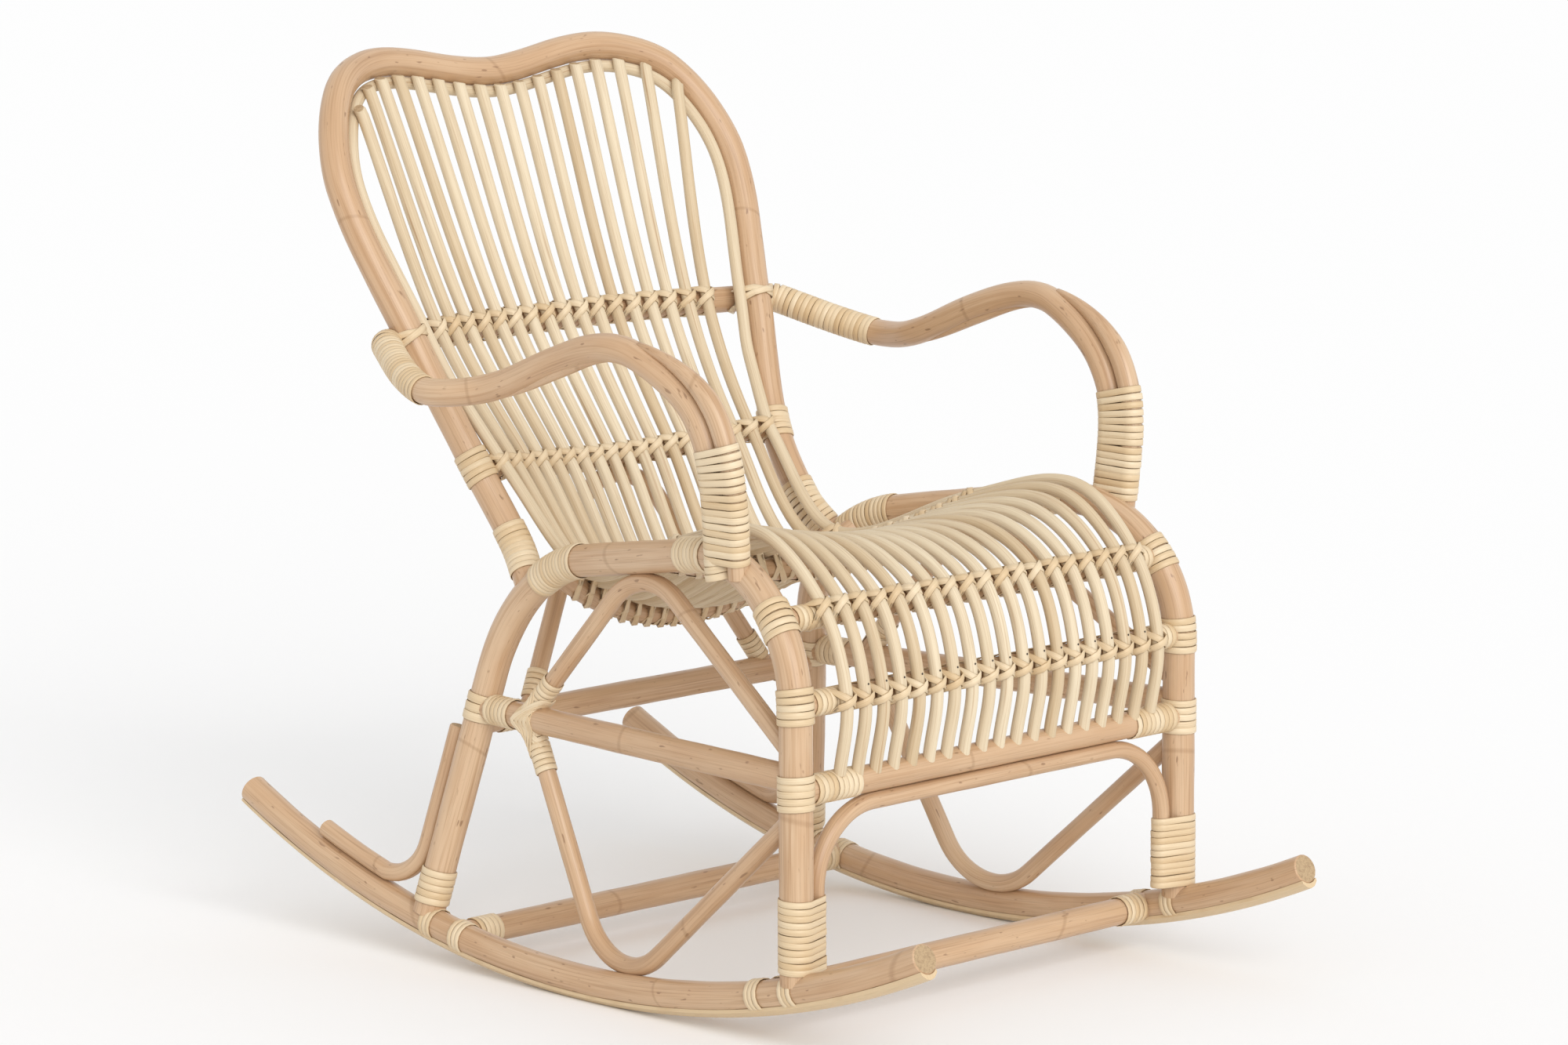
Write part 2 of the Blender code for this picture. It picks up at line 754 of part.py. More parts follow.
def build_arm(side):
    label = SIDE_NAMES[side]
    flip = list if side == LEFT else mirrored
    arm = tube("arm_" + label, flip(left_arm), ARM_DIAMETER, POLE_SIDES, ACROSS)
    notch(arm, "side_frame_" + label, "back_hoop")
    rings = ring_points(flip(left_second), second_radii, POLE_SIDES, ACROSS)
    second = loft("arm_second_pole_" + label, rings, pole_rattan)
    notch(second, "side_frame_" + label)
    mains = run(left_arm, ARM_POST_WRAP_START, ARM_POST_WRAP_LENGTH)
    seconds = ahead_of(mains, [arm_radius + second_radius + GAP] * len(mains))
    binding = wrap_pair(
        "arm_post_wrap_" + label, flip(mains), flip(seconds), arm_radius, second_radius + GAP, ACROSS
    )
    notch(binding, "side_frame_" + label)
    start = length_of(left_arm) - ARM_REAR_WRAP_START - ARM_REAR_WRAP_LENGTH
    binding = wrap("arm_rear_wrap_" + label, "arm_" + label, start, ARM_REAR_WRAP_LENGTH)
    notch(binding, "back_hoop")


# Braces and stretchers
stretcher_rear = crossing(left_frame_from_rear, 2, STRETCHER_HEIGHT)
stretcher_front = crossing(left_frame, 2, STRETCHER_HEIGHT)
rear_rail_end = crossing(left_frame_from_rear, 2, STRETCHER_HEIGHT - REAR_RAIL_DROP)


def on_stretcher(setback):
    share = (setback + front_y - stretcher_front.y) / (stretcher_rear.y - stretcher_front.y)
    return stretcher_front.lerp(stretcher_rear, share)


def build_side_braces(side):
    label = SIDE_NAMES[side]
    frame = "side_frame_" + label
    stretcher_name = "side_stretcher_" + label
    flip = mirrored if side == RIGHT else list

    stretcher = tube(
        stretcher_name, flip([stretcher_front, stretcher_rear]), STRETCHER_DIAMETER, POLE_SIDES, ACROSS
    )
    notch(stretcher, frame, "rear_cross_rail", "front_bottom_rail")

    arch_front = stretcher_front + UP * SIDE_ARCH_FRONT_RISE
    arch_rear = on_stretcher(SIDE_ARCH_FOOT_SETBACK)
    under_seat = crossing(left_frame, 1, front_y + SIDE_ARCH_TOP_SETBACK)
    arch_top = under_seat - UP * (frame_radius + brace_radius - SEAT_BITE)
    arch_path = flip(tangent_arch(arch_front, arch_rear, arch_top, SIDE_ARCH_RADIUS))
    arch = tube("side_arch_" + label, arch_path, BRACE_DIAMETER, BRACE_SIDES, ACROSS)
    notch(arch, frame, stretcher_name, "front_bottom_rail")

    vee_front = stretcher_front - UP * SIDE_VEE_FRONT_DROP
    vee_rear = on_stretcher(SIDE_VEE_FOOT_SETBACK)
    low = front_y + SIDE_VEE_BOTTOM_SETBACK
    reach = rocker_radius + brace_radius - SEAT_BITE
    on_rocker = arc_height_at(low, ROCKER_RADIUS) + math.sqrt(reach**2 - SIDE_VEE_BOTTOM_INSET**2)
    vee_bottom = Vector((half_legs - SIDE_VEE_BOTTOM_INSET, low, on_rocker))
    vee_path = flip(tangent_arch(vee_front, vee_rear, vee_bottom, SIDE_VEE_RADIUS))
    vee = tube("side_vee_" + label, vee_path, BRACE_DIAMETER, BRACE_SIDES, ACROSS)
    notch(vee, frame, stretcher_name, "front_bottom_rail", "rocker_" + label)

    foot = left_frame[-1]
    leg = (left_frame[-2] - foot).normalized()
    behind = Vector((0, leg.z, -leg.y)).normalized()
    heel_reach = frame_radius + heel_radius + GAP
    heel_top = crossing(left_frame_from_rear, 2, HEEL_TOP_HEIGHT) + behind * heel_reach
    lie_radius = ROCKER_RADIUS - rocker_radius - heel_radius - GAP
    lie_start = math.asin((rear_foot_y + HEEL_REACH - low_y) / lie_radius)
    lie_step = HEEL_LIE / lie_radius / HEEL_LIE_STEPS
    lie = [arc_point(half_legs, lie_start + lie_step * k, lie_radius) for k in range(HEEL_LIE_STEPS + 1)]
    share = (lie[0].z - heel_top.z) / leg.z
    corner = heel_top + leg * share
    heel_path = rounded([heel_top, corner, lie[0]], [HEEL_BEND_RADIUS])[:-1] + lie
    heel = tube("heel_bracket_" + label, flip(heel_path), HEEL_DIAMETER, BRACE_SIDES, ACROSS)
    notch(heel, frame, "rocker_" + label)


def build_cross_poles():
    ends = mirrored([rear_rail_end]) + [rear_rail_end]
    rear = tube("rear_cross_rail", ends, STRETCHER_DIAMETER, POLE_SIDES, UP)
    notch(rear, "side_frame_right", "side_frame_left")

    rear_foot = Vector((REAR_ARCH_SPREAD / 2, rear_rail_end.y, rear_rail_end.z))
    under_rail = rails["lower_back_rail"].place(0) - UP * (rail_radius + brace_radius - SEAT_BITE)
    arch_path = tangent_arch(mirrored([rear_foot])[0], rear_foot, under_rail, REAR_ARCH_RADIUS)
    arch = tube("rear_arch", arch_path, BRACE_DIAMETER, BRACE_SIDES, Vector((0, 1, 0)))
    notch(arch, "rear_cross_rail", "lower_back_rail")

    arch_x = half_legs - frame_radius - front_arch_radius - GAP
    arch_top = BOTTOM_RAIL_HEIGHT - bottom_rail_radius - front_arch_radius - GAP
    arch_foot = arc_height_at(front_y, ROCKER_RADIUS) + rocker_radius + FOOT_CLEARANCE
    corners = [
        Vector((-arch_x, front_y, arch_foot)),
        Vector((-arch_x, front_y, arch_top)),
        Vector((arch_x, front_y, arch_top)),
        Vector((arch_x, front_y, arch_foot)),
    ]
    path = rounded(corners, [FRONT_ARCH_RADIUS, FRONT_ARCH_RADIUS])
    tube("front_arch", path, FRONT_ARCH_DIAMETER, BRACE_SIDES, ACROSS)
    for side in (RIGHT, LEFT):
        ends = [arch_foot + GAP, arch_foot + FOOT_WRAP_LENGTH]
        leg = [Vector((side * half_legs, front_y, z)) for z in ends]
        foot = [Vector((side * arch_x, front_y, z)) for z in ends]
        wrap_pair("front_foot_wrap_" + SIDE_NAMES[side], leg, foot, frame_radius, front_arch_radius, ACROSS)

    for name, y in (
        ("front_rocker_stretcher", front_y + FRONT_STRETCHER_SETBACK),
        ("rear_rocker_stretcher", rear_foot_y - REAR_STRETCHER_AHEAD),
    ):
        height = arc_height_at(y, ROCKER_RADIUS)
        ends = [Vector((-half_legs, y, height)), Vector((half_legs, y, height))]
        pole = tube(name, ends, STRETCHER_DIAMETER, POLE_SIDES, UP)
        notch(pole, "rocker_right", "rocker_left")


def build_frame_wraps(side):
    label = SIDE_NAMES[side]
    start = HOOP_WRAP_START
    if side == LEFT:
        start = length_of(hoop_path) - HOOP_WRAP_START - HOOP_WRAP_LENGTH
    hoop_wrap = wrap("hoop_foot_wrap_" + label, "back_hoop", start, HOOP_WRAP_LENGTH)
    notch(hoop_wrap, "side_frame_" + label)
    from_front = distance_along(left_frame, seat_rear_end)
    start = from_front - SEAT_WRAP_AHEAD
    seat_wrap = wrap("seat_rail_wrap_" + label, "side_frame_" + label, start, SEAT_WRAP_LENGTH)
    notch(seat_wrap, "seat_rear_rail", "back_hoop")


for each_side in (RIGHT, LEFT):
    build_rocker(each_side)
    build_side_frame(each_side)
build_hoop()
build_rails()
build_cross_poles()
for each_rod in range(1, ROD_COUNT - 1):
    build_spindle(each_rod)
build_lining()
for each_side in (RIGHT, LEFT):
    build_arm(each_side)
    build_side_braces(each_side)
    build_frame_wraps(each_side)
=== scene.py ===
import bisect
import itertools
import math
import random
import re

import bmesh
import bpy
from mathutils import Matrix, Vector


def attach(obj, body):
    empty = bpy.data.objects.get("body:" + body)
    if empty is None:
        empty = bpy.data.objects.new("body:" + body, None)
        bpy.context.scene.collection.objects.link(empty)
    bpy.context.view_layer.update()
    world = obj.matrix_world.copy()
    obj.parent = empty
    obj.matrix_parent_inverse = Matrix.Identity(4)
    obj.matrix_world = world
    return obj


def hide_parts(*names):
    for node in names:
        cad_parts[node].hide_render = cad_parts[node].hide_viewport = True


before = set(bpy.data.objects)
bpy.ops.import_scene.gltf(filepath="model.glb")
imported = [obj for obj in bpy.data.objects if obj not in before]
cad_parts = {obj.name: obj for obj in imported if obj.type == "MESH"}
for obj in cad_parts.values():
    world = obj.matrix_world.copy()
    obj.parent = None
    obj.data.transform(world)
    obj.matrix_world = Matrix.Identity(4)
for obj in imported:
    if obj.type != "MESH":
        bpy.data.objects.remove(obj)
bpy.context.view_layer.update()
print("frame loaded:", len(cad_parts), "nodes")

rightSide = -1
leftSide = 1
sideNames = {rightSide: "right", leftSide: "left"}
across = Vector((1, 0, 0))
backward = Vector((0, 1, 0))
upward = Vector((0, 0, 1))

# Fineness of the shapes
bendStep = math.radians(4)
splineSteps = 12
ringStep = 0.007
wayStep = 0.004
sharpAngle = math.radians(40)
thickSides = 24
poleSides = 20
braceSides = 16
rodSides = 12

# The gap between poles that touch, and how far a brace bites into its pole
fit = 0.0003
bite = 0.001


# Paths are lists of points
def mirrored(path):
    return [Vector((-p.x, p.y, p.z)) for p in path]


def flipped(path, side):
    return list(path) if side == leftSide else mirrored(path)


# Straight runs whose inner corners are arcs
def rounded(corners, radii):
    path = [corners[0]]
    for before, corner, after, radius in zip(corners, corners[1:], corners[2:], radii):
        back = (before - corner).normalized()
        ahead = (after - corner).normalized()
        halfTurn = (math.pi - back.angle(ahead)) / 2
        out = -(back + ahead).normalized()
        along = (ahead - back).normalized()
        centre = corner - out * (radius / math.cos(halfTurn))
        steps = max(2, math.ceil(2 * halfTurn / bendStep))
        for step in range(steps + 1):
            angle = halfTurn * (2 * step / steps - 1)
            path.append(centre + (out * math.cos(angle) + along * math.sin(angle)) * radius)
    path.append(corners[-1])
    return path


# A smooth path through the points
def smooth(points, steps=splineSteps):
    ends = [points[0] * 2 - points[1]] + points + [points[-1] * 2 - points[-2]]
    path = []
    for a, b, c, d in zip(ends, ends[1:], ends[2:], ends[3:]):
        span = (c - b).length
        lead = (c - a) * (span / ((b - a).length + span))
        trail = (d - b) * (span / ((d - c).length + span))
        for step in range(steps):
            t = step / steps
            path.append(
                b * (2 * t**3 - 3 * t**2 + 1)
                + lead * (t**3 - 2 * t**2 + t)
                + c * (3 * t**2 - 2 * t**3)
                + trail * (t**3 - t**2)
            )
    path.append(points[-1])
    return path


# Two straight legs that run into an arc through the top
def tangentArch(footA, footB, top, radius):
    along = (footB - footA).normalized()
    rise = top - footA
    out = (rise - along * rise.dot(along)).normalized()
    centre = top - out * radius
    angles = []
    for foot, turn in ((footA, 1), (footB, -1)):
        reach = foot - centre
        bearing = math.atan2(reach.dot(out), reach.dot(along))
        angles.append(bearing - turn * math.acos(radius / reach.length))
    start, end = angles
    start += 2 * math.pi * (start < 0)
    steps = max(4, math.ceil((start - end) / bendStep))
    path = [footA]
    for step in range(steps + 1):
        angle = start + (end - start) * step / steps
        path.append(centre + (along * math.cos(angle) + out * math.sin(angle)) * radius)
    path.append(footB)
    return path


def spanAt(path, axis, value):
    for a, b in zip(path, path[1:]):
        if (a[axis] - value) * (b[axis] - value) <= 0 and a[axis] != b[axis]:
            return a, b
    raise ValueError("the path doesn't reach %.4f" % value)


def crossing(path, axis, value):
    a, b = spanAt(path, axis, value)
    return a.lerp(b, (value - a[axis]) / (b[axis] - a[axis]))


def marks(path):
    done = [0.0]
    for a, b in zip(path, path[1:]):
        done.append(done[-1] + (b - a).length)
    return done


def pointsAt(path, distances):
    done = marks(path)
    points = []
    for distance in distances:
        index = min(max(bisect.bisect_right(done, distance) - 1, 0), len(path) - 2)
        share = (distance - done[index]) / max(done[index + 1] - done[index], 1e-9)
        points.append(path[index].lerp(path[index + 1], share))
    return points


# The part of a path that begins at a distance from its first point
def runOf(path, start, length):
    count = max(2, math.ceil(length / ringStep))
    return pointsAt(path, [start + length * step / count for step in range(count + 1)])


def lengthOf(path):
    return marks(path)[-1]


def nearest(path, place):
    best = None
    for (a, b), done in zip(zip(path, path[1:]), marks(path)):
        step = b - a
        share = min(1.0, max(0.0, (place - a).dot(step) / step.length_squared))
        point = a + step * share
        far = (point - place).length
        if best is None or far < best[0]:
            best = (far, point, done + step.length * share)
    return best[1], best[2]


# The part of a path that is centred on the point nearest to a place
def about(path, place, length):
    return runOf(path, nearest(path, place)[1] - length / 2, length)


# Takes the kinks out of a path and keeps its ends
def eased(path, passes):
    for step in range(passes):
        path = (
            path[:1]
            + [(a + b * 2 + c) / 4 for a, b, c in zip(path, path[1:], path[2:])]
            + path[-1:]
        )
    return path


# A direction of travel and a facing direction square to it at each point
def framesAlong(path, facing):
    result = []
    for index, point in enumerate(path):
        before = path[max(index - 1, 0)]
        after = path[min(index + 1, len(path) - 1)]
        travel = (after - before).normalized()
        facing = (facing - travel * facing.dot(travel)).normalized()
        result.append((travel, facing))
    return result


# Looks
def colour(text):
    parts = [int(text[at : at + 2], 16) / 255 for at in (1, 3, 5)]
    linear = [c / 12.92 if c <= 0.04045 else ((c + 0.055) / 1.055) ** 2.4 for c in parts]
    return (*linear, 1.0)


# Adds a node with its settings and links, and gives one of its outputs
def addNode(tree, kind, values=None, output=0, **settings):
    node = tree.nodes.new(kind)
    for key, value in settings.items():
        setattr(node, key, value)
    for key, value in (values or {}).items():
        socket = node.inputs[key]
        if isinstance(value, bpy.types.NodeSocket):
            tree.links.new(value, socket)
        else:
            socket.default_value = value
    return node.outputs[output]


def newMaterial(name, roughness):
    material = bpy.data.materials.new(name)
    material.use_nodes = True
    shader = material.node_tree.nodes["Principled BSDF"]
    shader.inputs["Roughness"].default_value = roughness
    return material, material.node_tree, shader


# Uneven patterns, each by its size in millimetres across and along the stem, and its detail
def patternsOn(tree, place, patterns):
    made = {}
    for name, (wide, long, detail) in patterns.items():
        scale = (1000 / wide, 1000 / wide, 1000 / long)
        spot = addNode(tree, "ShaderNodeVectorMath", {0: place, 1: scale}, operation="MULTIPLY")
        made[name] = addNode(tree, "ShaderNodeTexNoise", {"Vector": spot, "Scale": 1.0, "Detail": detail})
    return made


# Lays colours over the ground: each where a pattern goes from one value to another, and up to a share
def colourIn(tree, shader, look, patterns):
    body = colour(look["ground"])
    for name, start, full, share, tint in look["layers"]:
        values = {"Value": patterns[name], "From Min": start, "From Max": full, "To Max": share}
        cover = addNode(tree, "ShaderNodeMapRange", values)
        values = {0: cover, 6: body, 7: colour(look[tint])}
        body = addNode(tree, "ShaderNodeMix", values, output=2, data_type="RGBA")
    tree.links.new(body, shader.inputs["Base Color"])


# Rattan pole with its skin on: satin and tan-pink, clouded along the stem, with fibre lines, a thin brown
# ring and a slight swelling at each stem joint, and a few brown flecks. The fibres are drawn 1.1 mm wide,
# because the real ones, a third of that, are too fine to show.
poleLook = {
    "ground": "#C4A07C",
    "pale": "#CFB190",
    "deep": "#B28C67",
    "line": "#8F6944",
    "fleck": "#7E5A3C",
    "roughness": 0.34,
    "patterns": {
        "clouds": (26, 110, 3.0),
        "fibres": (1.1, 90, 3.0),
        "flecks": (4.2, 14, 1.0),
        "streaks": (4.8, 200, 2.0),
        "wander": (330, 480, 0.0),
    },
    "layers": (
        ("clouds", 0.36, 0.64, 1.00, "pale"),
        ("tone", 0.00, 1.00, 0.55, "ground"),
        ("streaks", 0.50, 0.70, 0.70, "deep"),
        ("fibres", 0.50, 0.80, 0.55, "line"),
        ("joint", 0.0034, 0.0008, 0.30, "line"),
        ("flecks", 0.70, 0.77, 0.65, "fleck"),
    ),
    "jointSpacing": 0.38,
    "jointWander": 0.9,
    "jointSwell": 0.009,
    "fibreHeight": 0.12,
    "bump": {"Strength": 0.35, "Distance": 0.0006},
}


# Distance along the pole from the nearest joint of the stem, which lies at uneven places
def stemJoint(tree, grain, wander, look):
    half = look["jointSpacing"] / 2
    along = addNode(tree, "ShaderNodeSeparateXYZ", {0: grain}, output=2)
    values = {0: wander, 1: look["jointSpacing"] * look["jointWander"], 2: along}
    place = addNode(tree, "ShaderNodeMath", values, operation="MULTIPLY_ADD")
    place = addNode(tree, "ShaderNodeMath", {0: place, 1: half}, operation="ADD")
    return addNode(tree, "ShaderNodeMath", {0: place, 1: half}, operation="PINGPONG")


def makePoleSkin(look):
    material, tree, shader = newMaterial("poleSkin", look["roughness"])
    grain = addNode(tree, "ShaderNodeAttribute", output="Vector", attribute_name="grain")
    patterns = patternsOn(tree, grain, look["patterns"])
    patterns["tone"] = addNode(tree, "ShaderNodeAttribute", output="Fac", attribute_name="tone")
    patterns["joint"] = stemJoint(tree, grain, patterns["wander"], look)
    colourIn(tree, shader, look, patterns)
    values = {"Value": patterns["joint"], "From Min": look["jointSwell"], "From Max": 0.0}
    swell = addNode(tree, "ShaderNodeMapRange", values)
    values = {0: patterns["fibres"], 1: look["fibreHeight"], 2: swell}
    height = addNode(tree, "ShaderNodeMath", values, operation="MULTIPLY_ADD")
    bump = addNode(tree, "ShaderNodeBump", {**look["bump"], "Height": height})
    tree.links.new(bump, shader.inputs["Normal"])
    return material


# Peeled rattan rod: matt and straw-coloured, each rod of its own shade, with the long fibres laid bare as
# lines and brown stains along a few of them. The fibres are drawn coarser than real ones, so they show.
rodLook = {
    "ground": "#DFD0B4",
    "deep": "#C6AE8A",
    "line": "#A8865C",
    "stain": "#A27A50",
    "roughness": 0.58,
    "patterns": {"clouds": (17, 125, 2.0), "fibres": (0.9, 70, 3.0), "stains": (3.8, 165, 2.0)},
    "layers": (
        ("shade", 0.00, 1.00, 1.00, "deep"),
        ("fibres", 0.48, 0.80, 0.55, "line"),
        ("stains", 0.63, 0.76, 0.60, "stain"),
    ),
    "cloudShade": {"From Min": 0.3, "From Max": 0.7, "To Max": 0.25},
    "toneShade": 0.75,
    "bump": {"Strength": 0.25, "Distance": 0.0003},
}


def makePeeledRod(look):
    material, tree, shader = newMaterial("peeledRod", look["roughness"])
    grain = addNode(tree, "ShaderNodeAttribute", output="Vector", attribute_name="grain")
    tone = addNode(tree, "ShaderNodeAttribute", output="Fac", attribute_name="tone")
    patterns = patternsOn(tree, grain, look["patterns"])
    clouded = addNode(tree, "ShaderNodeMapRange", {**look["cloudShade"], "Value": patterns["clouds"]})
    values = {0: tone, 1: look["toneShade"], 2: clouded}
    patterns["shade"] = addNode(tree, "ShaderNodeMath", values, operation="MULTIPLY_ADD")
    colourIn(tree, shader, look, patterns)
    bump = addNode(tree, "ShaderNodeBump", {**look["bump"], "Height": patterns["fibres"]})
    tree.links.new(bump, shader.inputs["Normal"])
    return material


# Peel: the flat outer bark of the cane, smooth and pale, with faint lines along the strip, a tone of its
# own on each turn and painted shade along the edges where two turns meet, stronger on some stretches than
# others
peelLook = {
    "ground": "#E3D0B0",
    "deep": "#D2B78F",
    "line": "#B8966B",
    # The colour of the painted shade in the grooves between turns
    "seamShade": "#80603E",
    "roughness": 0.46,
    "patterns": {"seamShadeNoise": (14, 14, 1.0)},
    "layers": (
        ("tone", 0.00, 1.00, 1.00, "deep"),
        ("fibres", 0.48, 0.78, 0.45, "line"),
        ("seamShade", 0.00, 1.00, 1.00, "seamShade"),
    ),
    "fibreWidth": 0.67,
    "fibreLength": 33,
    "fibreShift": 90,
    "fibreDetail": 2.0,
    "seamShadeShare": {"From Min": 0.40, "From Max": 0.64, "To Min": 0.12, "To Max": 0.72},
    "seamShadeStart": 0.35,
    "bump": {"Strength": 0.15, "Distance": 0.0002},
}


def makePeelStrip(look):
    material, tree, shader = newMaterial("peelStrip", look["roughness"])
    place = addNode(tree, "ShaderNodeAttribute", output="Vector", attribute_name="turnSpace")
    width = addNode(tree, "ShaderNodeAttribute", output="Fac", attribute_name="across")
    edge = addNode(tree, "ShaderNodeAttribute", output="Fac", attribute_name="edge")
    tone = addNode(tree, "ShaderNodeAttribute", output="Fac", attribute_name="tone")
    patterns = patternsOn(tree, place, look["patterns"])
    patterns["tone"] = tone
    spot = addNode(tree, "ShaderNodeSeparateXYZ", {0: place}).node.outputs
    strip = addNode(tree, "ShaderNodeCombineXYZ", {0: width, 1: spot[0], 2: spot[1]})
    values = {0: tone, 1: (0, 0, look["fibreShift"])}
    shift = addNode(tree, "ShaderNodeVectorMath", values, operation="MULTIPLY")
    lengthwise = 1000 / look["fibreLength"]
    values = {0: strip, 1: (1000 / look["fibreWidth"], lengthwise, lengthwise), 2: shift}
    strip = addNode(tree, "ShaderNodeVectorMath", values, operation="MULTIPLY_ADD")
    values = {"Vector": strip, "Scale": 1.0, "Detail": look["fibreDetail"]}
    patterns["fibres"] = addNode(tree, "ShaderNodeTexNoise", values)
    # Painted shade: the strip darkens towards the edges of its section, where the groove between two turns
    # lies in shade; a noise sets how dark it is on each stretch
    seamShadeNoise = addNode(tree, "ShaderNodeMapRange", {**look["seamShadeShare"], "Value": patterns["seamShadeNoise"]})
    rim = addNode(tree, "ShaderNodeMapRange", {"Value": edge, "From Min": look["seamShadeStart"]})
    patterns["seamShade"] = addNode(tree, "ShaderNodeMath", {0: rim, 1: seamShadeNoise}, operation="MULTIPLY")
    colourIn(tree, shader, look, patterns)
    bump = addNode(tree, "ShaderNodeBump", {**look["bump"], "Height": patterns["fibres"]})
    tree.links.new(bump, shader.inputs["Normal"])
    return material


# Cut end: rough, darker than the skin, and pitted with the open vessels of the stem
endLook = {
    "ground": "#B79D7A",
    "vessel": "#75563A",
    "roughness": 0.8,
    "patterns": {"clouds": (3.8, 3.8, 2.0)},
    "layers": (("vessels", 0.34, 0.12, 0.75, "vessel"), ("clouds", 0.45, 0.75, 0.45, "vessel")),
    "vesselSize": 1.1,
}


def makeEndGrain(look):
    material, tree, shader = newMaterial("endGrain", look["roughness"])
    grain = addNode(tree, "ShaderNodeAttribute", output="Vector", attribute_name="grain")
    flat = addNode(tree, "ShaderNodeVectorMath", {0: grain, 1: (1, 1, 0)}, operation="MULTIPLY")
    patterns = patternsOn(tree, flat, look["patterns"])
    values = {"Vector": flat, "Scale": 1000 / look["vesselSize"]}
    patterns["vessels"] = addNode(tree, "ShaderNodeTexVoronoi", values, output="Distance")
    colourIn(tree, shader, look, patterns)
    return material


# Nail head: dull dark steel, a little worn
nailLook = {
    "ground": "#3A332D",
    "bare": "#5C5248",
    "roughness": 0.5,
    "metallic": 0.7,
    "patterns": {"wear": (1.1, 1.1, 2.0)},
    "layers": (("wear", 0.4, 0.7, 1.0, "bare"),),
}


def makeNailSteel(look):
    material, tree, shader = newMaterial("nailSteel", look["roughness"])
    place = addNode(tree, "ShaderNodeTexCoord", output="Object")
    colourIn(tree, shader, look, patternsOn(tree, place, look["patterns"]))
    shader.inputs["Metallic"].default_value = look["metallic"]
    return material


poleSkin = makePoleSkin(poleLook)
peeledRod = makePeeledRod(rodLook)
peelStrip = makePeelStrip(peelLook)
endGrain = makeEndGrain(endLook)
nailSteel = makeNailSteel(nailLook)
print("materials made")


# Meshes and pieces
def turnOutward(mesh):
    shell = bmesh.new()
    shell.from_mesh(mesh)
    if shell.calc_volume(signed=True) < 0:
        bmesh.ops.reverse_faces(shell, faces=shell.faces)
        shell.to_mesh(mesh)
    shell.free()


def setAttribute(mesh, name, values):
    single = isinstance(values[0], float)
    layer = mesh.attributes.new(name, "FLOAT" if single else "FLOAT_VECTOR", "POINT")
    if single:
        layer.data.foreach_set("value", values)
    else:
        layer.data.foreach_set("vector", [part for value in values for part in value])


def addObject(name, data):
    thing = bpy.data.objects.new(name, data)
    bpy.context.scene.collection.objects.link(thing)
    return thing


# The solid that a piece stands for has the same name, with its words set apart by underscores
def solidOf(name):
    return re.sub(r"(?<=[a-z])([A-Z]|\d)", lambda found: "_" + found[1].lower(), name)


def addPiece(name, mesh, solid):
    piece = addObject(name, mesh)
    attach(piece, "root")
    if solid:
        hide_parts(solidOf(name))


def newMesh(name, points, faces, materials, slots, attributes):
    mesh = bpy.data.meshes.new(name)
    mesh.from_pydata([tuple(point) for point in points], [], faces)
    for material in materials:
        mesh.materials.append(material)
    if slots:
        mesh.polygons.foreach_set("material_index", slots)
    for key, values in attributes.items():
        setAttribute(mesh, key, values)
    mesh.shade_smooth()
    mesh.set_sharp_from_angle(angle=sharpAngle)
    turnOutward(mesh)
    return mesh


# Quads between rings of points that follow one another
def ringFaces(rings, corners):
    faces = []
    for ring in range(rings - 1):
        low = ring * corners
        for corner in range(corners):
            after = (corner + 1) % corners
            faces.append((low + corner, low + after, low + corners + after, low + corners + corner))
    return faces


# A round pole: its thickness wanders a little, its ends are cut flat or at a slope and have a worn rim
poleShape = {
    "rim": 0.0012,
    "firstRing": 0.010,
    "swell": 0.010,
    "swellRate": 37,
    "ripple": 0.006,
    "rippleRate": 101,
    "grainShift": 40,
}


def addPole(
    name, path, diameter, sides, skin=poleSkin, solid=True, facing=across, slopes=(0.0, 0.0), taper=None
):
    draw = random.Random(name)
    tone = draw.random()
    phase = draw.uniform(0, 2 * math.pi)
    shift = draw.uniform(0, poleShape["grainShift"])
    rim = poleShape["rim"]
    total = lengthOf(path)
    clear = total - 2 * poleShape["firstRing"]
    count = max(2, math.ceil(clear / ringStep))
    inner = [poleShape["firstRing"] + clear * step / count for step in range(count + 1)]
    distances = [0.0, rim] + inner + [total - rim, total]
    line = pointsAt(path, distances)
    last = len(line) - 1
    points = []
    grain = []
    for index, (travel, out) in enumerate(framesAlong(line, facing)):
        distance = distances[index]
        beside = travel.cross(out)
        swell = poleShape["swell"] * math.sin(distance * poleShape["swellRate"] + phase)
        ripple = poleShape["ripple"] * math.sin(distance * poleShape["rippleRate"])
        radius = diameter / 2 * (1 + swell + ripple)
        if taper:
            radius *= taper(distance, total)
        if index in (0, last):
            radius -= min(rim, radius / 3)
        slope = slopes[0] * (index < 2) - slopes[1] * (index > last - 2)
        for side in range(sides):
            angle = 2 * math.pi * side / sides
            offset = (out * math.cos(angle) + beside * math.sin(angle)) * radius
            points.append(line[index] + offset + travel * (slope * offset.dot(out)))
            grain.append((math.cos(angle) * radius, math.sin(angle) * radius, distance + shift))
    faces = ringFaces(len(line), sides)
    slots = [0] * len(faces)
    for ring, distance in ((0, 0.0), (last, total)):
        hub = len(points)
        points.append(line[ring])
        grain.append((0.0, 0.0, distance + shift))
        for side in range(sides):
            face = (ring * sides + side, ring * sides + (side + 1) % sides, hub)
            faces.append(face if ring else face[::-1])
            slots.append(1)
    attributes = {"grain": grain, "tone": [tone] * len(points)}
    mesh = newMesh(name, points, faces, [skin, endGrain], slots, attributes)
    addPiece(name, mesh, solid)


